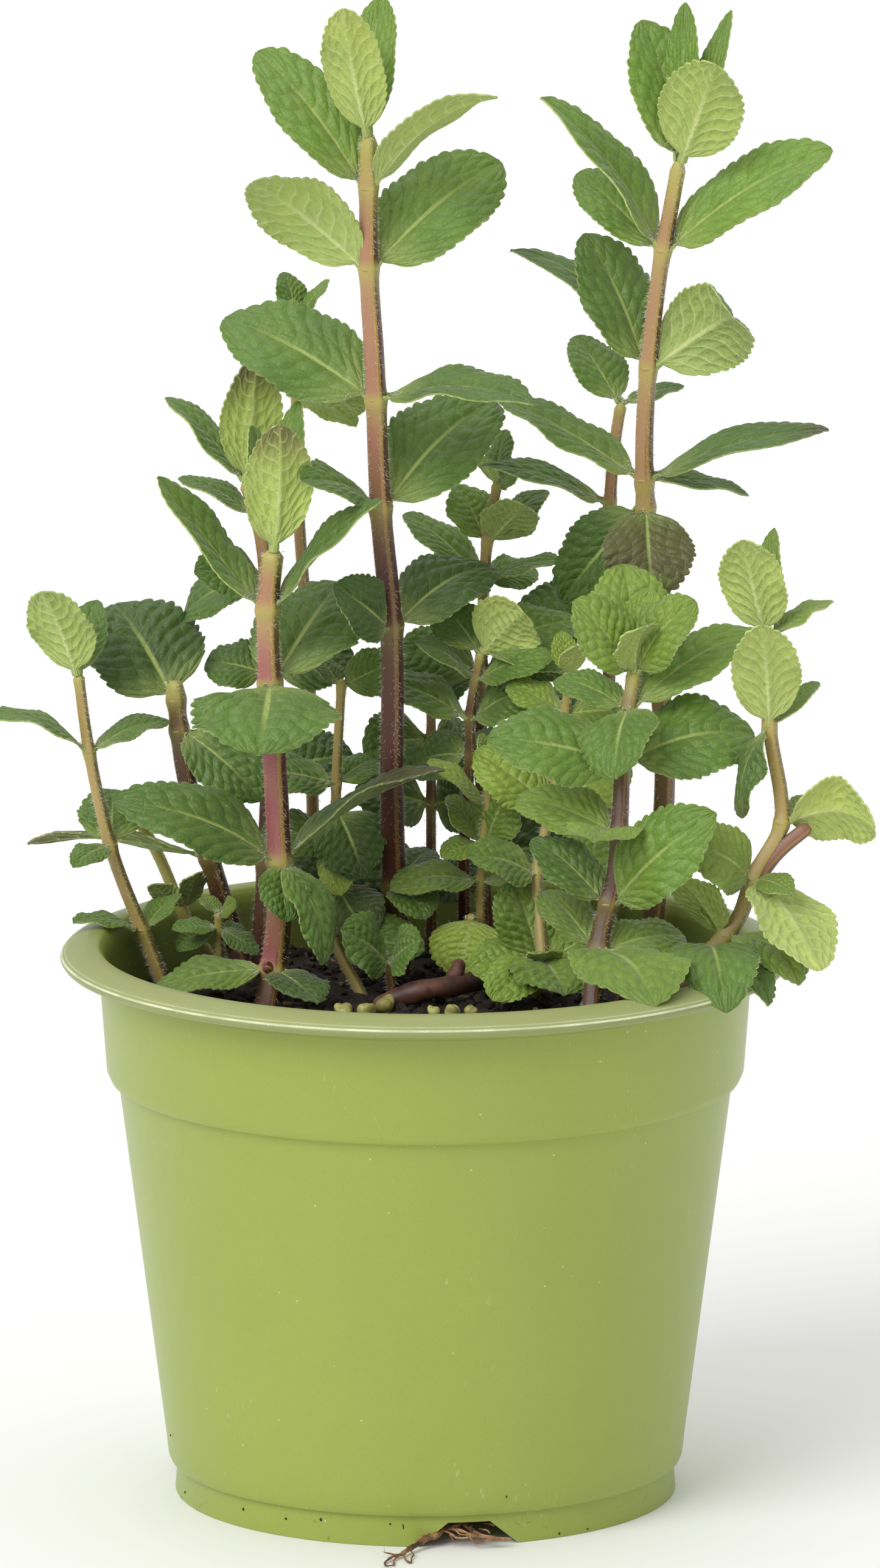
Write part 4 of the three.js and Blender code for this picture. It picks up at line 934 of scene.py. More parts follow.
def stamped(name, original, spots):
    """One mesh with a copy of the original at each spot, a 4 x 4 matrix."""
    corners = points_of(original)
    spots = np.asarray(spots)
    placed = np.einsum("nij,mj->nmi", spots[:, :3, :3], corners) + spots[:, None, :3, 3]
    faces = [tuple(face.vertices) for face in original.data.polygons]
    count = len(corners)
    every = [tuple(v + i * count for v in face) for i in range(len(spots)) for face in faces]
    mesh = bpy.data.meshes.new(name)
    mesh.from_pydata(placed.reshape(-1, 3).tolist(), [], every)
    piece = bpy.data.objects.new(name, mesh)
    bpy.context.scene.collection.objects.link(piece)
    return piece


def turned_rings(name, rings, segments):
    """A circle extruded ring by ring: rings are (radius, height); the first and last are filled."""
    radius, height = rings[0]
    piece = added(bpy.ops.mesh.primitive_circle_add, vertices=segments, radius=radius * MM,
                  location=(0, 0, height * MM), fill_type="NGON")
    bpy.ops.object.mode_set(mode="EDIT")
    bpy.ops.mesh.select_mode(type="EDGE")
    bpy.ops.mesh.select_all(action="SELECT")
    bpy.ops.mesh.region_to_loop()
    for next_radius, next_height in rings[1:]:
        bpy.ops.mesh.extrude_edges_move(
            TRANSFORM_OT_translate={"value": (0, 0, (next_height - height) * MM)})
        share = next_radius / radius
        bpy.ops.transform.resize(value=(share, share, 1), center_override=(0, 0, next_height * MM))
        radius, height = next_radius, next_height
    bpy.ops.mesh.edge_face_add()
    bpy.ops.object.mode_set(mode="OBJECT")
    piece.name = name
    outward(piece)
    return piece


def master(maker, *sizes):
    """A shape that is modelled once; every use copies it."""
    key = (maker, *sizes)
    if key not in MASTERS:
        MASTERS[key] = maker(*sizes)
        MASTERS[key].hide_render = MASTERS[key].hide_viewport = True
    return MASTERS[key]


def drop_masters():
    discard(*MASTERS.values())
    MASTERS.clear()


# ---- stems and other long round pieces

def spine_of(path, steps=24):
    """Points along the smooth curve through a path, with the share of the curve at each."""
    knots = np.array(path, float)
    knots = np.vstack([2 * knots[0] - knots[1], knots, 2 * knots[-1] - knots[-2]])
    out, shares = [], []
    spans = len(path) - 1
    for i in range(spans):
        a, b, c, d = knots[i:i + 4]
        first, second, third = (math.sqrt(np.linalg.norm(q - p)) for p, q in ((a, b), (b, c), (c, d)))
        leave = ((b - a) / first - (c - a) / (first + second) + (c - b) / second) * second
        arrive = ((c - b) / second - (d - b) / (second + third) + (d - c) / third) * second
        for k in range(steps + (i == spans - 1)):
            t = k / steps
            out.append(b + leave * t + (-3 * b + 3 * c - 2 * leave - arrive) * t * t
                       + (2 * b - 2 * c + leave + arrive) * t ** 3)
            shares.append((i + t) / spans)
    return np.array(out), np.array(shares)


def run_of(spine):
    """How far along the curve each of its points lies."""
    steps = np.linalg.norm(np.diff(spine, axis=0), axis=1)
    return np.concatenate([[0], np.cumsum(steps)])


def along_run(here, run, values):
    """Values of the curve's points, at places given by how far along they are."""
    return np.stack([np.interp(here, run, values[:, k]) for k in range(3)], -1)


def at_height(shoot, height):
    """Centre and radius of a stem at a height."""
    spine, shares = spine_of(shoot["path"])
    wide, thin = shoot["radius"]
    order = np.argsort(spine[:, 2])
    height = min(height, spine[:, 2].max())
    centre = np.array([np.interp(height, spine[order, 2], spine[order, k]) for k in range(3)])
    return centre, wide + (thin - wide) * np.interp(height, spine[order, 2], shares[order])


def master_tube(rings):
    """An upright cylinder, one unit high, with its upright edges cut into that many rings."""
    piece = added(bpy.ops.mesh.primitive_cylinder_add, vertices=STEM_SIDES, radius=1, depth=1,
                  location=(0, 0, 0), end_fill_type="TRIFAN")
    corners = points_of(piece)
    pick(piece, "EDGE", lambda edge: np.ptp(corners[list(edge.vertices), 2]) > 0.5)
    bpy.ops.object.mode_set(mode="EDIT")
    bpy.ops.mesh.subdivide(number_cuts=rings - 1)
    bpy.ops.object.mode_set(mode="OBJECT")
    return piece


def tube(name, path, radii, rings, square=0, knots=(), reference=(0, 1, 0), lumps=None):
    """A tube along a path. Square stems have ridged corners, and swell at the knots' heights."""
    piece = copy_of(master(master_tube, rings), name)
    local = points_of(piece)
    turn = np.arctan2(local[:, 1], local[:, 0])
    level = np.clip(local[:, 2] + 0.5, 0, 1)
    spine, shares = spine_of(path)
    run = run_of(spine)
    here = level * run[-1]
    centre = along_run(here, run, spine)
    tangent = unit(along_run(here, run, np.gradient(spine, run, axis=0)))
    side = unit(np.cross(np.array(reference, float), tangent))
    front = np.cross(tangent, side)
    share = np.interp(here, run, shares)
    radius = radii[0] + (radii[1] - radii[0]) * share
    for knot in knots:
        radius = radius * (1 + KNOT_SWELL * np.exp(-((centre[:, 2] - knot) / KNOT_REACH) ** 2))
    if lumps is not None:
        radius = radius * (1 + lumps(here, turn))
    ends = np.minimum(here, run[-1] - here) / (0.9 * radius)
    radius = radius * np.sqrt(1 - (1 - np.clip(ends, 0, 1)) ** 2 * 0.75)
    bearing = turn - math.radians(CORNER_BEARING)
    ridge = 1 + square * (np.cos(4 * bearing) + 0.25 * np.cos(8 * bearing))
    out = centre + (side * np.cos(turn)[:, None] + front * np.sin(turn)[:, None]) * (
        radius * ridge * np.hypot(local[:, 0], local[:, 1]))[:, None]
    move_points(piece, out * MM)
    above = [centre[:, 2] - knot for knot in knots]
    knot_mask = sum((np.where(gap < 0, np.exp(gap / 3.5), np.exp(-(gap / 0.9) ** 2)) for gap in above),
                    np.zeros(len(out)))
    mark(piece, corner=np.cos(4 * bearing) * 0.5 + 0.5, knot=np.clip(knot_mask, 0, 1), growth=share,
         facing=np.cos(turn - math.radians(SHADE_BEARING)) * 0.5 + 0.5)
    return piece


def hair_master():
    """A tapered hair one unit long: four faces."""
    return added(bpy.ops.mesh.primitive_cone_add, vertices=3, radius1=1, radius2=0, depth=1,
                 location=(0, 0, 0.5))


def hairs(name, roots, directions, lengths, thickness):
    """Fine hairs from root points along directions, all in millimetres."""
    directions = unit(directions)
    helper = np.where(np.abs(directions[:, 2:3]) < 0.9, [[0, 0, 1.0]], [[1.0, 0, 0]])
    side = unit(np.cross(helper, directions))
    spots = np.zeros((len(roots), 4, 4))
    spots[:, :3, 0] = side * thickness
    spots[:, :3, 1] = np.cross(directions, side) * thickness
    spots[:, :3, 2] = directions * np.asarray(lengths)[:, None]
    spots[:, :3, 3] = roots
    spots *= MM
    spots[:, 3, 3] = 1
    return coat(stamped(name, master(hair_master), spots), "plant_hair")


def stem_hairs(name, path, radii, density, length, chance):
    """Hairs on a stem, most of them on its four corners."""
    spine, shares = spine_of(path)
    run = run_of(spine)
    count = int(run[-1] * density)
    here = chance.uniform(0, run[-1], count)
    centre = along_run(here, run, spine)
    keep = centre[:, 2] > SOIL_TOP
    radius = radii[0] + (radii[1] - radii[0]) * np.interp(here, run, shares)
    corner = math.radians(CORNER_BEARING) + chance.integers(0, 4, count) * math.pi / 2
    turn = corner + chance.normal(0, 0.22, count)
    outwards = np.stack([np.cos(turn), np.sin(turn), np.zeros(count)], -1)
    lean = np.stack([chance.normal(0, 0.3, count), chance.normal(0, 0.3, count),
                     chance.normal(-0.35, 0.35, count)], -1)
    lengths = chance.uniform(0.5, 1, count) * length
    roots = centre + outwards * (radius * 0.97)[:, None]
    return hairs(name, roots[keep], (outwards + lean)[keep], lengths[keep], STEM_HAIR_RADIUS)


# ---- leaves

def master_leaf(teeth, columns):
    """A flat grid with one row for each step of the margin's teeth; its UV map follows the blade."""
    rows = PETIOLE_ROWS + teeth * TOOTH_ROWS
    piece = added(bpy.ops.mesh.primitive_grid_add, x_subdivisions=columns, y_subdivisions=rows, size=2,
                  location=(0, 0, 0))
    local = points_of(piece)
    row = np.rint((local[:, 1] + 1) / 2 * rows)
    blade = (row - PETIOLE_ROWS) / (rows - PETIOLE_ROWS)
    local[:, 1] = np.where(blade < 0, row / PETIOLE_ROWS * PETIOLE, PETIOLE + blade * (1 - PETIOLE))
    move_points(piece, local)
    corner_points = np.zeros(len(piece.data.loops), int)
    piece.data.loops.foreach_get("vertex_index", corner_points)
    layer = piece.data.uv_layers[0]
    layer.name = "blade"
    spots = np.stack([local[corner_points, 0] / 2 + 0.5, local[corner_points, 1]], -1)
    layer.data.foreach_set("uv", spots.ravel())
    return piece


def margin(across, blade, width, teeth, look, chance):
    """How far each point stands from the midrib, how far the teeth carry it on, and the outline."""
    point = chance.uniform(*look["tip"])
    outline = np.sin(math.pi * np.clip(blade, 0.0, 0.997) ** 0.88) ** (0.5 + (point - 0.5) * blade)
    phase = np.mod(blade * teeth, 1)
    tooth = np.interp(phase, [0, 0.25, 0.5, 0.75, 1], [0, 0.7, 1, 0.85, 0])
    uneven = chance.uniform(0.5, 1.25, (2, teeth + 1))
    tooth = tooth * uneven[(across > 0).astype(int), np.floor(blade * teeth).astype(int)]
    tooth *= smooth(0.02, 0.2, blade) * (1 - smooth(0.93, 1, blade))
    edge = smooth(0.72, 1, np.abs(across))
    flat = width / 2 * outline * across
    flat = flat + np.sign(across) * edge * (tooth - 0.45) * look["teeth"] * width / 2
    forward = edge * tooth * look["teeth"] * width / 2 * 0.5
    return np.where(blade <= 0, 0, flat), forward, outline


def leaf_relief(across, blade, flat, outline, length, width, fold, look, tone, chance):
    """How far each point stands above the plane of its leaf: fold, curl, waves, veins and droop."""
    reach = np.abs(across)
    fold_height = math.tan(math.radians(fold)) * (np.sqrt(flat ** 2 + 0.6) - 0.77)
    curl = -look["curl"] * width * reach ** 2.6 * outline
    one, other = (2 * math.pi * (blade * chance.uniform(1.2, 2.2) + chance.uniform(0, 1)) for _ in "ab")
    wave = look["wave"] * width * reach ** 2 * outline * np.where(across > 0, np.sin(one), np.sin(other))
    cell, block = (np.abs(np.sin(math.pi * each)) ** 0.6 for each in vein_phases(across, blade, tone))
    fade = smooth(0, 0.12, blade) * (1 - smooth(0.9, 1, blade)) * outline
    fade *= smooth(0.04, 0.2, reach) * (1 - 0.75 * smooth(0.75, 1, reach))
    quilt = look["quilt"] * width * min(1, width / 14) * fade * cell * (0.15 + 0.85 * block)
    rib = -0.3 * np.exp(-(flat / 0.5) ** 2) * smooth(0.02, 0.15, blade) * min(1, width / 12)
    return fold_height + curl + wave + quilt + rib - look["droop"] * length * blade ** 3


def leaf_shape(across, along, start, tip, level, width, arch, fold, teeth, look, tone, chance):
    """Points of one leaf's upper side."""
    length = np.linalg.norm(tip - start)
    ahead = (tip - start) / length
    up = unit(level - ahead * np.dot(level, ahead))
    sideways = np.cross(ahead, up)
    blade = np.clip((along - PETIOLE) / (1 - PETIOLE), 0, 1)
    flat, forward, outline = margin(across, blade, width, teeth, look, chance)
    lift = leaf_relief(across, blade, flat, outline, length, width, fold, look, tone, chance)

    gutter = min(0.62, max(0.3, width * 0.05))
    opening = smooth(PETIOLE * 0.5, PETIOLE * 2, along)
    flat = gutter * np.sin(1.9 * across) * (1 - opening) + flat * opening
    lift = (gutter * (1 - np.cos(1.9 * across)) - gutter * 0.4) * (1 - opening) + lift * opening

    sway = chance.uniform(-1, 1) * look["sway"] * length
    twist = chance.uniform(-1, 1) * look["twist"] * (blade - 0.3) * opening
    spread = flat * np.cos(twist) - lift * np.sin(twist)
    lift = flat * np.sin(twist) + lift * np.cos(twist)
    bow = 4 * along * (1 - along)
    spine = start + np.outer(along * length + forward, ahead) + np.outer(bow * length * arch / 100, up)
    spine = spine + np.outer(np.sin(math.pi * along) * sway, sideways)
    tangent = unit(ahead + np.outer(4 * (1 - 2 * along) * arch / 100, up))
    normal = np.cross(np.broadcast_to(sideways, tangent.shape), tangent)
    return spine + sideways * spread[:, None] + normal * lift[:, None]


def leaf(name, centre, radius, row, age, chance, gap, look):
    """One leaf that springs from a stem's centre and radius at its height."""
    bearing, rise, length, width, roll, arch, fold = row
    turn, climb, lean = (math.radians(angle) for angle in (bearing, rise, roll))
    away = np.array([math.cos(turn), math.sin(turn), 0])
    upright = np.array([0, 0, 1])
    ahead = away * math.cos(climb) + upright * math.sin(climb)
    level = -away * math.sin(climb) + upright * math.cos(climb)
    up = level * math.cos(lean) + np.cross(ahead, level) * math.sin(lean)
    tip = centre + away * gap + ahead * length
    start = centre + away * radius * 0.5
    teeth, columns = BIG_GRID if length >= BIG_LEAF else SMALL_GRID
    piece = copy_of(master(master_leaf, teeth, columns), name)
    local = points_of(piece)
    tone = chance.uniform(0, 1)
    shape = leaf_shape(local[:, 0], local[:, 1], start, tip, up, width * look["fullness"], arch, fold,
                       teeth, look, tone, chance)
    move_points(piece, shape * MM)
    mark(piece, age=np.clip(age + chance.uniform(-0.08, 0.08), 0, 1), tone=tone, pale=look["pale"],
         flush=look["flush"] * smooth(*look["reach"], local[:, 1]), dry=look["dry"], dark=look["dark"])
    return coat(piece, "leaf_upper", "leaf_under", "leaf_margin"), shape, local, up


def leaf_group(name, leaves, centre, radius, gap, number):
    """The leaves that spring from one height of a stem, as one closed piece."""
    age, rows = leaves
    blades, roots, ways, lengths = [], [], [], []
    for i, row in enumerate(rows):
        chance = np.random.default_rng(LEAF_SEED + LEAF_SEED_STEP * number + i)
        look = {**LEAF_LOOK, **(YOUNG_LOOK if age < 0.2 else {}), **LOOKS.get((name, i), LOOKS.get(name, {}))}
        piece, shape, local, up = leaf(f"{name}_{i}", centre, radius, row, age, chance, gap, look)
        blades.append(piece)
        count = int(30 + 3.2 * row[2])
        picks = chance.choice(len(shape), count, p=hair_odds(local))
        roots.append(shape[picks])
        ways.append(chance.normal(0, 1, (count, 3)) + 0.4 * up)
        lengths.append(chance.uniform(0.35, 0.9, count) * (0.7 + 0.3 * (local[picks, 1] < 0.2)))
    whole = joined(name, blades)
    thickness = 0.32 if max(row[2] for row in rows) >= BIG_LEAF else 0.26
    applied(whole, "SOLIDIFY", thickness=thickness * MM, offset=-1, use_even_offset=False,
            material_offset=1, material_offset_rim=2)
    soften(whole, 55)
    tuft = hairs(name + "_hair", np.vstack(roots), np.vstack(ways), np.concatenate(lengths), LEAF_HAIR_RADIUS)
    return joined(name, [whole, tuft])


def hair_odds(local):
    """Hairs stand on the petiole, the margin and the midrib."""
    weight = 0.02 + 3 * (local[:, 1] < 0.14) + 0.5 * (np.abs(local[:, 0]) > 0.95)
    return weight / weight.sum()


def clasp(name, centre, radius):
    """The ridge round the stem where a pair of leaves joins it."""
    piece = added(bpy.ops.mesh.primitive_torus_add, major_segments=24, minor_segments=8,
                  major_radius=radius * 0.98 * MM, minor_radius=0.3 * MM, location=tuple(centre * MM))
    piece.name = name
    mark(piece, knot=0.7, growth=0.6, tint=0.4, dark=0.3, depth=0.3, corner=0.5, facing=0.5)
    soften(coat(piece, "stem_skin"), 60)
    return piece


# ---- pieces

def rounded_profile(points, steps=5):
    """A smooth line through profile points given as (radius, height)."""
    line, _ = spine_of([(radius, 0, height) for radius, height in points], steps)
    return [(point[0], point[2]) for point in line]


def pot_profile():
    rim_bottom = POT_HEIGHT - RIM_HEIGHT
    outside = [
        (FOOT_TOP_RADIUS - WALL, FLOOR_TOP - WALL), (FOOT_RADIUS - WALL, 0), (FOOT_RADIUS, 0),
        (FOOT_TOP_RADIUS, FOOT_HEIGHT), (BODY_BOTTOM_RADIUS - 0.5, FOOT_HEIGHT + 0.3),
        (BODY_BOTTOM_RADIUS, FOOT_HEIGHT + 1.4), (BODY_BOTTOM_RADIUS + 0.36, FOOT_HEIGHT + 4.6),
        (BODY_TOP_RADIUS, COLLAR_BOTTOM - 2.2), (COLLAR_BOTTOM_RADIUS - 0.7, COLLAR_BOTTOM - 1.6),
        (COLLAR_BOTTOM_RADIUS, COLLAR_BOTTOM), (COLLAR_TOP_RADIUS, rim_bottom - 0.4),
        (COLLAR_TOP_RADIUS + 0.4, rim_bottom), (RIM_RADIUS - 1.4, rim_bottom - 0.2),
    ]
    rim = [
        (RIM_RADIUS - 0.4, rim_bottom), (RIM_RADIUS, rim_bottom + 0.9), (RIM_RADIUS - 0.9, rim_bottom + 1.9),
        (RIM_RADIUS - 3.2, POT_HEIGHT - 0.4), (RIM_RADIUS - 5.2, POT_HEIGHT),
        (LIP_RADIUS + 0.6, POT_HEIGHT - 0.3), (LIP_RADIUS - 0.3, POT_HEIGHT - 1.4),
    ]
    inside = [
        (COLLAR_TOP_RADIUS - WALL, rim_bottom), (COLLAR_BOTTOM_RADIUS - WALL, COLLAR_BOTTOM + 1),
        (BODY_TOP_RADIUS - WALL, COLLAR_BOTTOM - 1.6), (BODY_BOTTOM_RADIUS - WALL - 0.2, FLOOR_TOP),
    ]
    return [*outside, *rounded_profile(rim), *inside]


def pot_cutters():
    """The tapered notches of the foot and the drain holes of the floor, as one tool."""
    notch = added(bpy.ops.mesh.primitive_cube_add, size=1, location=(0, 0, (NOTCH_HEIGHT - 1) / 2 * MM),
                  scale=(NOTCH_DEPTH * MM, NOTCH_WIDTH * MM, (NOTCH_HEIGHT + 1) * MM))
    pick(notch, "FACE", lambda face: face.normal.z > 0.9)
    bpy.ops.object.mode_set(mode="EDIT")
    bpy.ops.transform.resize(value=(1, NOTCH_TOP_WIDTH / NOTCH_WIDTH, 1),
                             center_override=(0, 0, NOTCH_HEIGHT * MM))
    bpy.ops.object.mode_set(mode="OBJECT")
    drain = added(bpy.ops.mesh.primitive_cylinder_add, vertices=32, radius=DRAIN_RADIUS * MM, depth=4 * MM,
                  location=(0, 0, (FLOOR_TOP - WALL / 2) * MM))
    cutters = [drain]
    for i in range(NOTCH_COUNT):
        turn = Matrix.Rotation(math.radians(NOTCH_BEARING) + i * 2 * math.pi / NOTCH_COUNT, 4, "Z")
        for shape, reach in ((notch, FOOT_RADIUS), (drain, DRAIN_CIRCLE)):
            twin = copy_of(shape, f"cutter_{i}")
            twin.data.transform(turn @ Matrix.Translation((reach * MM, 0, 0)))
            cutters.append(twin)
    discard(notch)
    return joined("cutters", cutters)


def build_pot(settings):
    pot = turned_rings("pot_shell", pot_profile(), POT_SEGMENTS)
    applied(pot, "BEVEL", width=settings.edge_round, segments=2, limit_method="ANGLE",
            angle_limit=math.radians(32))
    tool = pot_cutters()
    applied(pot, "BOOLEAN", operation="DIFFERENCE", solver="EXACT", object=tool)
    discard(tool)
    outward(pot)
    soften(coat(pot, "pot_plastic"), 34)
    settle(joined("pot_shell", [pot, stuck_bits()]), "pot")


def ball(levels=1):
    return added(bpy.ops.mesh.primitive_ico_sphere_add, subdivisions=levels, radius=1)


def stuck_bits():
    """Small crumbs of soil stuck to the foot and the wall of the pot."""
    crumb = ball()
    spots = []
    for bearing, height, size, stretch in STUCK_BITS:
        reach = FOOT_RADIUS - FOOT_SLOPE * height
        if height > FOOT_HEIGHT:
            reach = BODY_BOTTOM_RADIUS + WALL_SLOPE * (height - FOOT_HEIGHT)
        turn = Matrix.Rotation(math.radians(bearing), 4, "Z")
        place = Matrix.Translation((reach * MM, 0, height * MM))
        lean = Matrix.Rotation(0.2, 4, "X")
        shape = Matrix.Diagonal((0.5 * size * MM, size * MM, size * stretch * MM, 1))
        spots.append(np.array(turn @ place @ lean @ shape))
    bits = stamped("stuck_bits", crumb, spots)
    discard(crumb)
    return coat(bits, "soil_mix")


def soil_rings():
    wall = COLLAR_BOTTOM_RADIUS - WALL
    side = [(BODY_BOTTOM_RADIUS - WALL - 0.4, FLOOR_TOP + 0.3),
            (BODY_TOP_RADIUS - WALL - 0.1, COLLAR_BOTTOM - 1.6),
            (wall - 0.1, COLLAR_BOTTOM + 1), (wall + 0.1, SOIL_TOP - 0.8)]
    return side + [(wall * (1 - k / SOIL_RINGS) * 0.995, SOIL_TOP - 0.5) for k in range(SOIL_RINGS)]


def scattered(name, count, small, large, stretch, finish, surface, chance):
    """Small lumps on the soil, each with its own size and turn."""
    crumb = ball()
    spots = []
    for _ in range(count):
        reach, turn = CRUMB_REACH * math.sqrt(chance.uniform(0, 1)), chance.uniform(-math.pi, math.pi)
        x, y = reach * math.cos(turn) * MM, reach * math.sin(turn) * MM
        near = surface[np.argmin((surface[:, 0] - x) ** 2 + (surface[:, 1] - y) ** 2)]
        size = small * (large / small) ** chance.uniform(0, 1) * MM
        spin = Matrix.Rotation(chance.uniform(-math.pi, math.pi), 4, "Z")
        spin = spin @ Matrix.Rotation(chance.uniform(-0.5, 0.5), 4, "Y")
        shape = Matrix.Diagonal((size * stretch * chance.uniform(0.8, 1.3), size,
                                 size * chance.uniform(0.6, 1), 1))
        spots.append(np.array(Matrix.Translation((x, y, near[2] + size * 0.2)) @ spin @ shape))
    lumps = stamped(name, crumb, spots)
    discard(crumb)
    return coat(lumps, finish)


def build_soil(settings):
    soil = turned_rings("soil_bed", soil_rings(), SOIL_SEGMENTS)
    points = points_of(soil)
    top = soil.vertex_groups.new(name="top")
    inner = np.hypot(points[:, 0], points[:, 1]) < SOIL_LOOSE_RADIUS * MM
    high = np.nonzero((points[:, 2] > (SOIL_TOP - 0.7) * MM) & inner)[0]
    top.add([int(i) for i in high], 1.0, "REPLACE")
    for size, strength in ((9, 2.2), (2.4, 1.5)):
        lumps = bpy.data.textures.new("soil_lumps", "CLOUDS")
        lumps.noise_scale = size * MM
        applied(soil, "DISPLACE", texture=lumps, strength=strength * MM, mid_level=0.55, direction="Z",
                vertex_group="top", texture_coords="LOCAL")
    coat(soil, "soil_mix")
    chance = np.random.default_rng(SOIL_SEED)
    surface = points_of(soil)
    surface = surface[surface[:, 2] > (SOIL_TOP - 3) * MM]
    count, large = settings.crumb_count, settings.crumb_size / MM
    crumbs = scattered("crumbs", count, 0.5, large, 1, "soil_mix", surface, chance)
    chips = scattered("chips", count // 6, 0.4, 0.8, 4, "wood_bits", surface, chance)
    soil = joined("soil_bed", [soil, crumbs, chips])
    soften(soil, 40)
    settle(joined("soil_bed", [soil, soil_buds()]), "soil")


def soil_buds():
    """Pale round buds at the front of the soil, three overlapping scales each."""
    bead = added(bpy.ops.mesh.primitive_uv_sphere_add, segments=14, ring_count=10, radius=1)
    chance = np.random.default_rng(BUD_SEED)
    spots = []
    for x, y, radius in BUDS:
        facing = chance.uniform(0, 2 * math.pi)
        for k in range(3):
            turn = facing + chance.uniform(-0.5, 0.5) + k * 2.1
            shift = 0.25 * radius * (k > 0)
            place = Matrix.Translation(((x + shift * math.cos(turn)) * MM, (y + shift * math.sin(turn)) * MM,
                                        (SOIL_TOP + chance.uniform(0.2, 0.6) * radius) * MM))
            lean = Matrix.Rotation(turn, 4, "Z") @ Matrix.Rotation(chance.uniform(0.4, 1.3), 4, "Y")
            size = Matrix.Diagonal((radius * (0.9 - 0.18 * k) * MM, radius * 0.9 * MM,
                                    radius * (0.8 + 0.2 * k) * MM, 1))
            spots.append(np.array(place @ lean @ size))
    buds = stamped("soil_buds", bead, spots)
    discard(bead)
    soften(coat(buds, "bud_skin"), 60)
    return buds


def root_strands(name, strands, finish, seed):
    """Wavy tubes along paths, and fine hair roots that branch off them."""
    parts, starts = [], []
    for i, (path, radii) in enumerate(strands):
        chance = np.random.default_rng(seed + i)
        spread = chance.uniform(0, 6.28, 3)

        def lumps(run, turn, spread=spread):
            return 0.16 * np.sin(run * 1.9 + spread[0]) + 0.1 * np.sin(run * 4.1 + turn + spread[1])
        parts.append(tube(f"{name}_{i}", path, radii, ROOT_RINGS, reference=(0, 0, 1), lumps=lumps))
        spine, _ = spine_of(path)
        starts.append(spine[chance.integers(len(spine) // 3, len(spine), ROOT_HAIRS)])
    roots = coat(joined(name, parts), finish)
    soften(roots, 60)
    chance = np.random.default_rng(seed)
    count = ROOT_HAIRS * len(strands)
    ways = chance.normal(0, 1, (count, 3)) * (1, 1, 0.3) + (0, -0.3, 0)
    ways[:, 2] = np.abs(ways[:, 2]) * 0.6      # none points down through the table
    fibres = hairs(name + "_hairs", np.vstack(starts), ways, chance.uniform(0.5, 1.9, count), 0.05)
    return [roots, coat(fibres, finish)]


def build_roots():
    dark = root_strands("dark_root", DARK_ROOTS, "root_skin", DARK_ROOT_SEED)
    pale = root_strands("pale_root", PALE_ROOTS, "pale_root_skin", PALE_ROOT_SEED)
    settle(joined("drain_roots", [*dark, *pale]), "roots_in_notch")


def build_creeping_stem():
    def lumps(run, turn):
        return 0.06 * np.sin(run * 0.9) + 0.02 * np.sin(run * 2.3 + 2 * turn)
    parts = [tube(f"creeper_{i}", path, radii, ROOT_RINGS, reference=(0, 0, 1), lumps=lumps)
             for i, (path, radii) in enumerate(CREEPING)]
    creeper = coat(joined("creeping_runner", parts), "bark")
    soften(creeper, 60)
    settle(creeper, "creeping_stem")


def stem_parts(name, shoot, settings, hairiness=1):
    """A square stem with its knots, its side branch or stub, and its hairs."""
    radii, path = shoot["radius"], list(shoot["path"])
    first, second = np.array(path[0], float), np.array(path[1], float)
    path.insert(0, tuple(first - unit(second - first) * PLANTED))
    reach_up = path[-1][2] - SOIL_TOP
    rings = LONG_RINGS if reach_up > LONG_STEM else SHORT_RINGS
    square = SHARP_RIDGE if radii[0] > THICK_STEM else SOFT_RIDGE
    stem = tube(name, path, radii, rings, square, [height for *_, height, _, _ in shoot["whorls"]])
    rose, dark, share, fresh = STEM_TINTS.get(shoot["name"], PLAIN_TINT)
    level = (points_of(stem)[:, 2] / MM - SOIL_TOP) / reach_up
    mark(stem, tint=rose, dark=dark, fresh=fresh,
         depth=1 - smooth(share - min(0.35, share / 2), share, level))
    parts = [stem]
    branch, stub = shoot.get("branch"), CUT_STUBS.get(shoot["name"])
    for side, ends in ((branch, (radii[0] * 0.9, radii[0] * 0.8)), (stub, STUB_RADII)):
        if side:
            parts.append(tube(f"{name}_side", side, ends, SIDE_RINGS, square))
            mark(parts[-1], tint=0.8, dark=0.5, depth=1, growth=0.2, fresh=0)
    for part in parts:
        soften(coat(part, "stem_skin"), 60)
    density = STEM_HAIRS * hairiness * (0.6 + 0.25 * radii[0])
    chance = np.random.default_rng(sum(map(ord, shoot["name"])))
    parts.append(stem_hairs(name + "_hair", path, radii, density, settings.hair_length / MM, chance))
    return parts


def build_main_stems(settings):
    for shoot in MAIN_SHOOTS:
        node = "stem_" + shoot["name"]
        settle(joined("square_" + node, stem_parts(node, shoot, settings)), node)


def build_main_leaves():
    every = [(shoot, *whorl) for shoot in MAIN_SHOOTS for whorl in shoot["whorls"]]
    for number, (shoot, title, height, *leaves) in enumerate(every, 1):
        node = f"leaves_{shoot['name']}_{title}"
        centre, radius = at_height(shoot, height)
        parts = [leaf_group(node, leaves, centre, radius, radius + GAP, number)]
        if title != "top":
            parts.append(clasp(node + "_clasp", centre, radius))
        young = title == "top" and shoot["name"] in YOUNG_TOPS
        settle(joined("veined_" + node, parts), node)


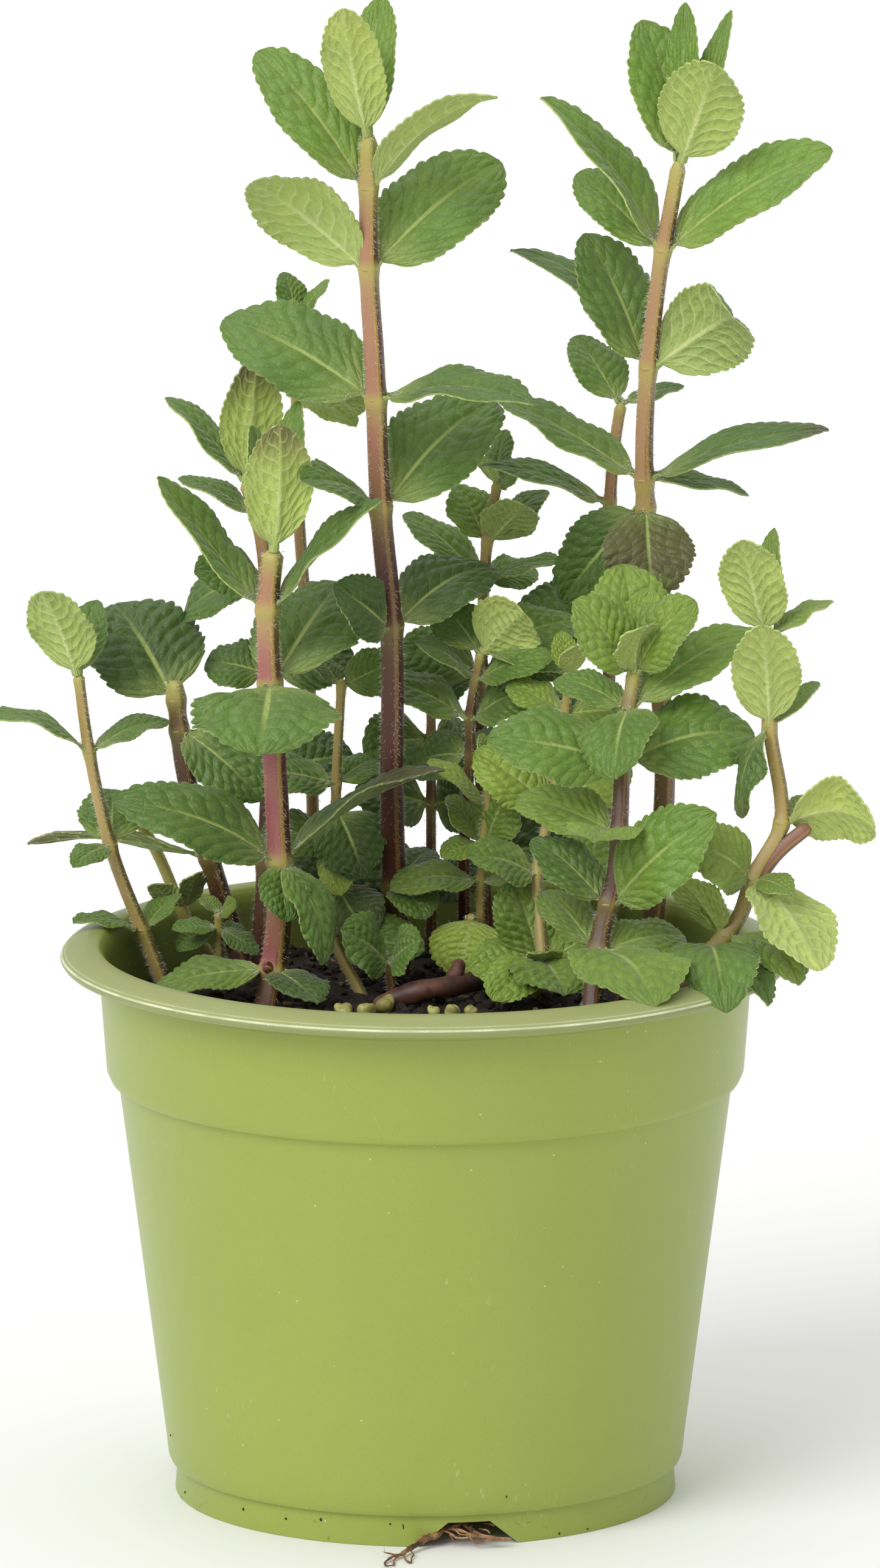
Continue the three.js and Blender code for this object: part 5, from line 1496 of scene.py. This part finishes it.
def build_side_shoots(settings):
    number = SIDE_NUMBERS
    for shoot in SIDE_SHOOTS:
        node = "shoot_" + shoot["name"]
        parts = stem_parts(node, shoot, settings, 0.7)
        for height, *leaves in shoot["whorls"]:
            number += 1
            centre, radius = at_height(shoot, height)
            parts.append(leaf_group(f"{node}_{height:g}", leaves, centre, radius, 0, number))
        settle(joined("small_" + node, parts), node)


def build_stage(settings):
    scene = bpy.context.scene
    ground = added(bpy.ops.mesh.primitive_plane_add, size=12, location=(0, 0, 0))
    ground.name = "stage_floor"
    floor_material(settings)
    coat(ground, "stage_floor")
    world = bpy.data.worlds.new("soft_room")
    world.use_nodes = True
    world.node_tree.nodes["Background"].inputs["Color"].default_value = (1, 1, 1, 1)
    world.node_tree.nodes["Background"].inputs["Strength"].default_value = settings.room_light
    scene.world = world
    for name, place, turn, size, power in (
            ("key_light", (-1.5, -1.4, 1.9), (50, 0, -38), 38, settings.key_power),
            ("top_light", (0, 0.5, 2.5), (-14, 0, 0), 80, settings.key_power * TOP_SHARE)):
        bpy.ops.object.light_add(type="SUN", location=place, rotation=tuple(map(math.radians, turn)))
        lamp = bpy.context.active_object
        lamp.name = name
        lamp.data.angle = math.radians(size)
        lamp.data.energy = power
    tilt = math.radians(CAMERA_ELEVATION)
    back = np.array([0, -math.cos(tilt), math.sin(tilt)])
    place = np.array(CAMERA_AIM) * MM + back * CAMERA_DISTANCE * MM
    bpy.ops.object.camera_add(location=tuple(place), rotation=(math.pi / 2 - tilt, 0, 0))
    camera = bpy.context.active_object
    camera.name = "front_camera"
    camera.data.sensor_fit = "AUTO"
    camera.data.sensor_width = 36
    camera.data.lens = CAMERA_LENS
    camera.data.clip_end = 60
    scene.camera = camera
    scene.view_settings.view_transform = "Standard"


# ---- settings a user would change

def size_property(name, description, default):
    return bpy.props.FloatProperty(name=name, description=description, default=default, min=0, unit="LENGTH")


def light_property(name, description, default):
    return bpy.props.FloatProperty(name=name, description=description, default=default, min=0, soft_max=10)


def colour_property(name, description, screen):
    return bpy.props.FloatVectorProperty(
        name=name, description=description, default=colour(*screen), size=3, min=0, max=1, subtype="COLOR")


class PotSettings(bpy.types.PropertyGroup):
    """Moulding and finish of the pot."""
    edge_round: size_property("Edge rounding", "Width of the rounding of the moulded edges", 0.0003)
    plastic_colour: colour_property("Plastic", "Colour of the moulded plastic", (158, 172, 78))
    # The rim's greyer colour is a painted reflection of the leaves above it.
    rim_reflection_colour: colour_property("Rim", "Greyer, worn plastic of the rolled rim", (151, 157, 106))


class SoilSettings(bpy.types.PropertyGroup):
    """Soil and its crumbs."""
    crumb_count: bpy.props.IntProperty(
        name="Crumbs", description="Loose crumbs on the soil", default=900, min=0, max=3000)
    crumb_size: size_property("Crumb size", "Radius of the largest crumbs", 0.0017)
    dark_colour: colour_property("Dark soil", "Colour in the hollows", (24, 19, 16))
    crumb_colour: colour_property("Crumb colour", "Colour of the dry crumbs", (66, 52, 40))


class StemSettings(bpy.types.PropertyGroup):
    """Hairs and colours of the square stems."""
    hair_length: size_property("Hair length", "Length of the hairs on the stems", 0.0011)
    tan_colour: colour_property("Tan", "Face that looks to the light", (172, 134, 94))
    rose_colour: colour_property("Rose", "The same face on a rosy stem", (168, 92, 100))
    # Maroon is partly the stems' own colour and partly painted shade on the faces away from the light.
    maroon_colour: colour_property("Maroon", "Face that looks away", (80, 30, 36))
    brown_colour: colour_property("Brown", "Old lower part of a stem", (82, 48, 34))
    edge_colour: colour_property("Edge", "Light line along the corners", (206, 164, 72))
    green_colour: colour_property("Fresh green", "Knots, growing tips and young stems", (178, 172, 88))


class LeafSettings(bpy.types.PropertyGroup):
    """Colours of the leaves."""
    young_colour: colour_property("Young upper side", "New leaves, seen from above", (118, 153, 54))
    old_colour: colour_property("Old upper side", "Grown leaves, seen from above", (84, 115, 43))
    young_under_colour: colour_property("Young underside", "New leaves, seen from below", (170, 190, 88))
    old_under_colour: colour_property("Old underside", "Grown leaves, seen from below", (134, 160, 84))
    vein_colour: colour_property("Veins", "Midrib and side veins of the upper side", (172, 188, 104))
    pale_vein_colour: colour_property("Pale veins", "Raised veins of the underside", (206, 216, 146))
    pale_colour: colour_property("Pale upper side", "Leaves with little chlorophyll", (160, 182, 72))
    pale_under_colour: colour_property("Pale underside", "The same leaves from below", (186, 200, 104))
    flush_colour: colour_property("Flush", "Purple tint between the veins", (88, 58, 52))
    dry_colour: colour_property("Dry", "Dry brown tips", (122, 92, 58))


class StageSettings(bpy.types.PropertyGroup):
    """Floor and light."""
    floor_colour: colour_property("Floor", "Colour of the plain floor", (246, 246, 244))
    room_light: light_property("Room light", "Strength of the even white light", 0.6)
    key_power: light_property("Key light", "Strength of the large soft light from the left", 1.7)


# ---- operators, panel and run

class MINT_OT_finishes(bpy.types.Operator):
    """Make the finishes of the plant and its pot"""
    bl_idname = "mint.finishes"
    bl_label = "Finishes"

    def execute(self, context):
        scene = context.scene
        pot_material(scene.mint_pot, dust_group())
        soil_material(scene.mint_soil)
        for name, dark, light, roughness, scale in FIBRES:
            fibre_material(name, colour(*dark), colour(*light), roughness, scale)
        stem_material(scene.mint_stem)
        veins = vein_group()
        for name in ("leaf_upper", "leaf_under", "leaf_margin"):
            leaf_material(name, scene.mint_leaf, veins)
        hair_material()
        return {"FINISHED"}


class MINT_OT_pot(bpy.types.Operator):
    """Turn the pot, cut its notches and drain holes"""
    bl_idname = "mint.pot"
    bl_label = "Pot"

    def execute(self, context):
        build_pot(context.scene.mint_pot)
        return {"FINISHED"}


class MINT_OT_soil(bpy.types.Operator):
    """Fill the pot with soil, crumbs, woody chips and buds"""
    bl_idname = "mint.soil"
    bl_label = "Soil"

    def execute(self, context):
        build_soil(context.scene.mint_soil)
        return {"FINISHED"}


class MINT_OT_roots(bpy.types.Operator):
    """Lay the roots that leave the front notch, and the creeping stem on the soil"""
    bl_idname = "mint.roots"
    bl_label = "Roots and creeping stem"

    def execute(self, context):
        build_roots()
        build_creeping_stem()
        return {"FINISHED"}


class MINT_OT_stems(bpy.types.Operator):
    """Grow the seven square main stems with their hairs"""
    bl_idname = "mint.stems"
    bl_label = "Main stems"

    def execute(self, context):
        build_main_stems(context.scene.mint_stem)
        return {"FINISHED"}


class MINT_OT_leaves(bpy.types.Operator):
    """Grow the leaves of the main stems"""
    bl_idname = "mint.leaves"
    bl_label = "Leaves"

    def execute(self, context):
        build_main_leaves()
        return {"FINISHED"}


class MINT_OT_side_shoots(bpy.types.Operator):
    """Grow the short and thin shoots between the main stems"""
    bl_idname = "mint.side_shoots"
    bl_label = "Side shoots"

    def execute(self, context):
        build_side_shoots(context.scene.mint_stem)
        return {"FINISHED"}


class MINT_OT_stage(bpy.types.Operator):
    """Set the floor, the soft lights and the camera"""
    bl_idname = "mint.stage"
    bl_label = "Stage"

    def execute(self, context):
        build_stage(context.scene.mint_stage)
        return {"FINISHED"}


SETTINGS = {"mint_pot": PotSettings, "mint_soil": SoilSettings, "mint_stem": StemSettings,
            "mint_leaf": LeafSettings, "mint_stage": StageSettings}
OPERATORS = (MINT_OT_finishes, MINT_OT_pot, MINT_OT_soil, MINT_OT_roots, MINT_OT_stems, MINT_OT_leaves,
             MINT_OT_side_shoots, MINT_OT_stage)


class MINT_PT_sidebar(bpy.types.Panel):
    """Buttons for the pieces, and the settings they use"""
    bl_idname = "MINT_PT_sidebar"
    bl_label = "Potted mint"
    bl_space_type = "VIEW_3D"
    bl_region_type = "UI"
    bl_category = "Mint"

    def draw(self, context):
        for operator in OPERATORS:
            self.layout.operator(operator.bl_idname)
        for holder, group in SETTINGS.items():
            box = self.layout.box()
            for key in group.__annotations__:
                box.prop(getattr(context.scene, holder), key)


CLASSES = (*SETTINGS.values(), *OPERATORS, MINT_PT_sidebar)


def register():
    for each in CLASSES:
        bpy.utils.register_class(each)
    for holder, group in SETTINGS.items():
        setattr(bpy.types.Scene, holder, bpy.props.PointerProperty(type=group))


def unregister():
    for holder in SETTINGS:
        delattr(bpy.types.Scene, holder)
    for each in reversed(CLASSES):
        bpy.utils.unregister_class(each)


def main():
    register()
    clear_selection()
    for operator in OPERATORS:
        group, name = operator.bl_idname.split(".")
        getattr(getattr(bpy.ops, group), name)()
    drop_masters()


if __name__ == "__main__":
    main()
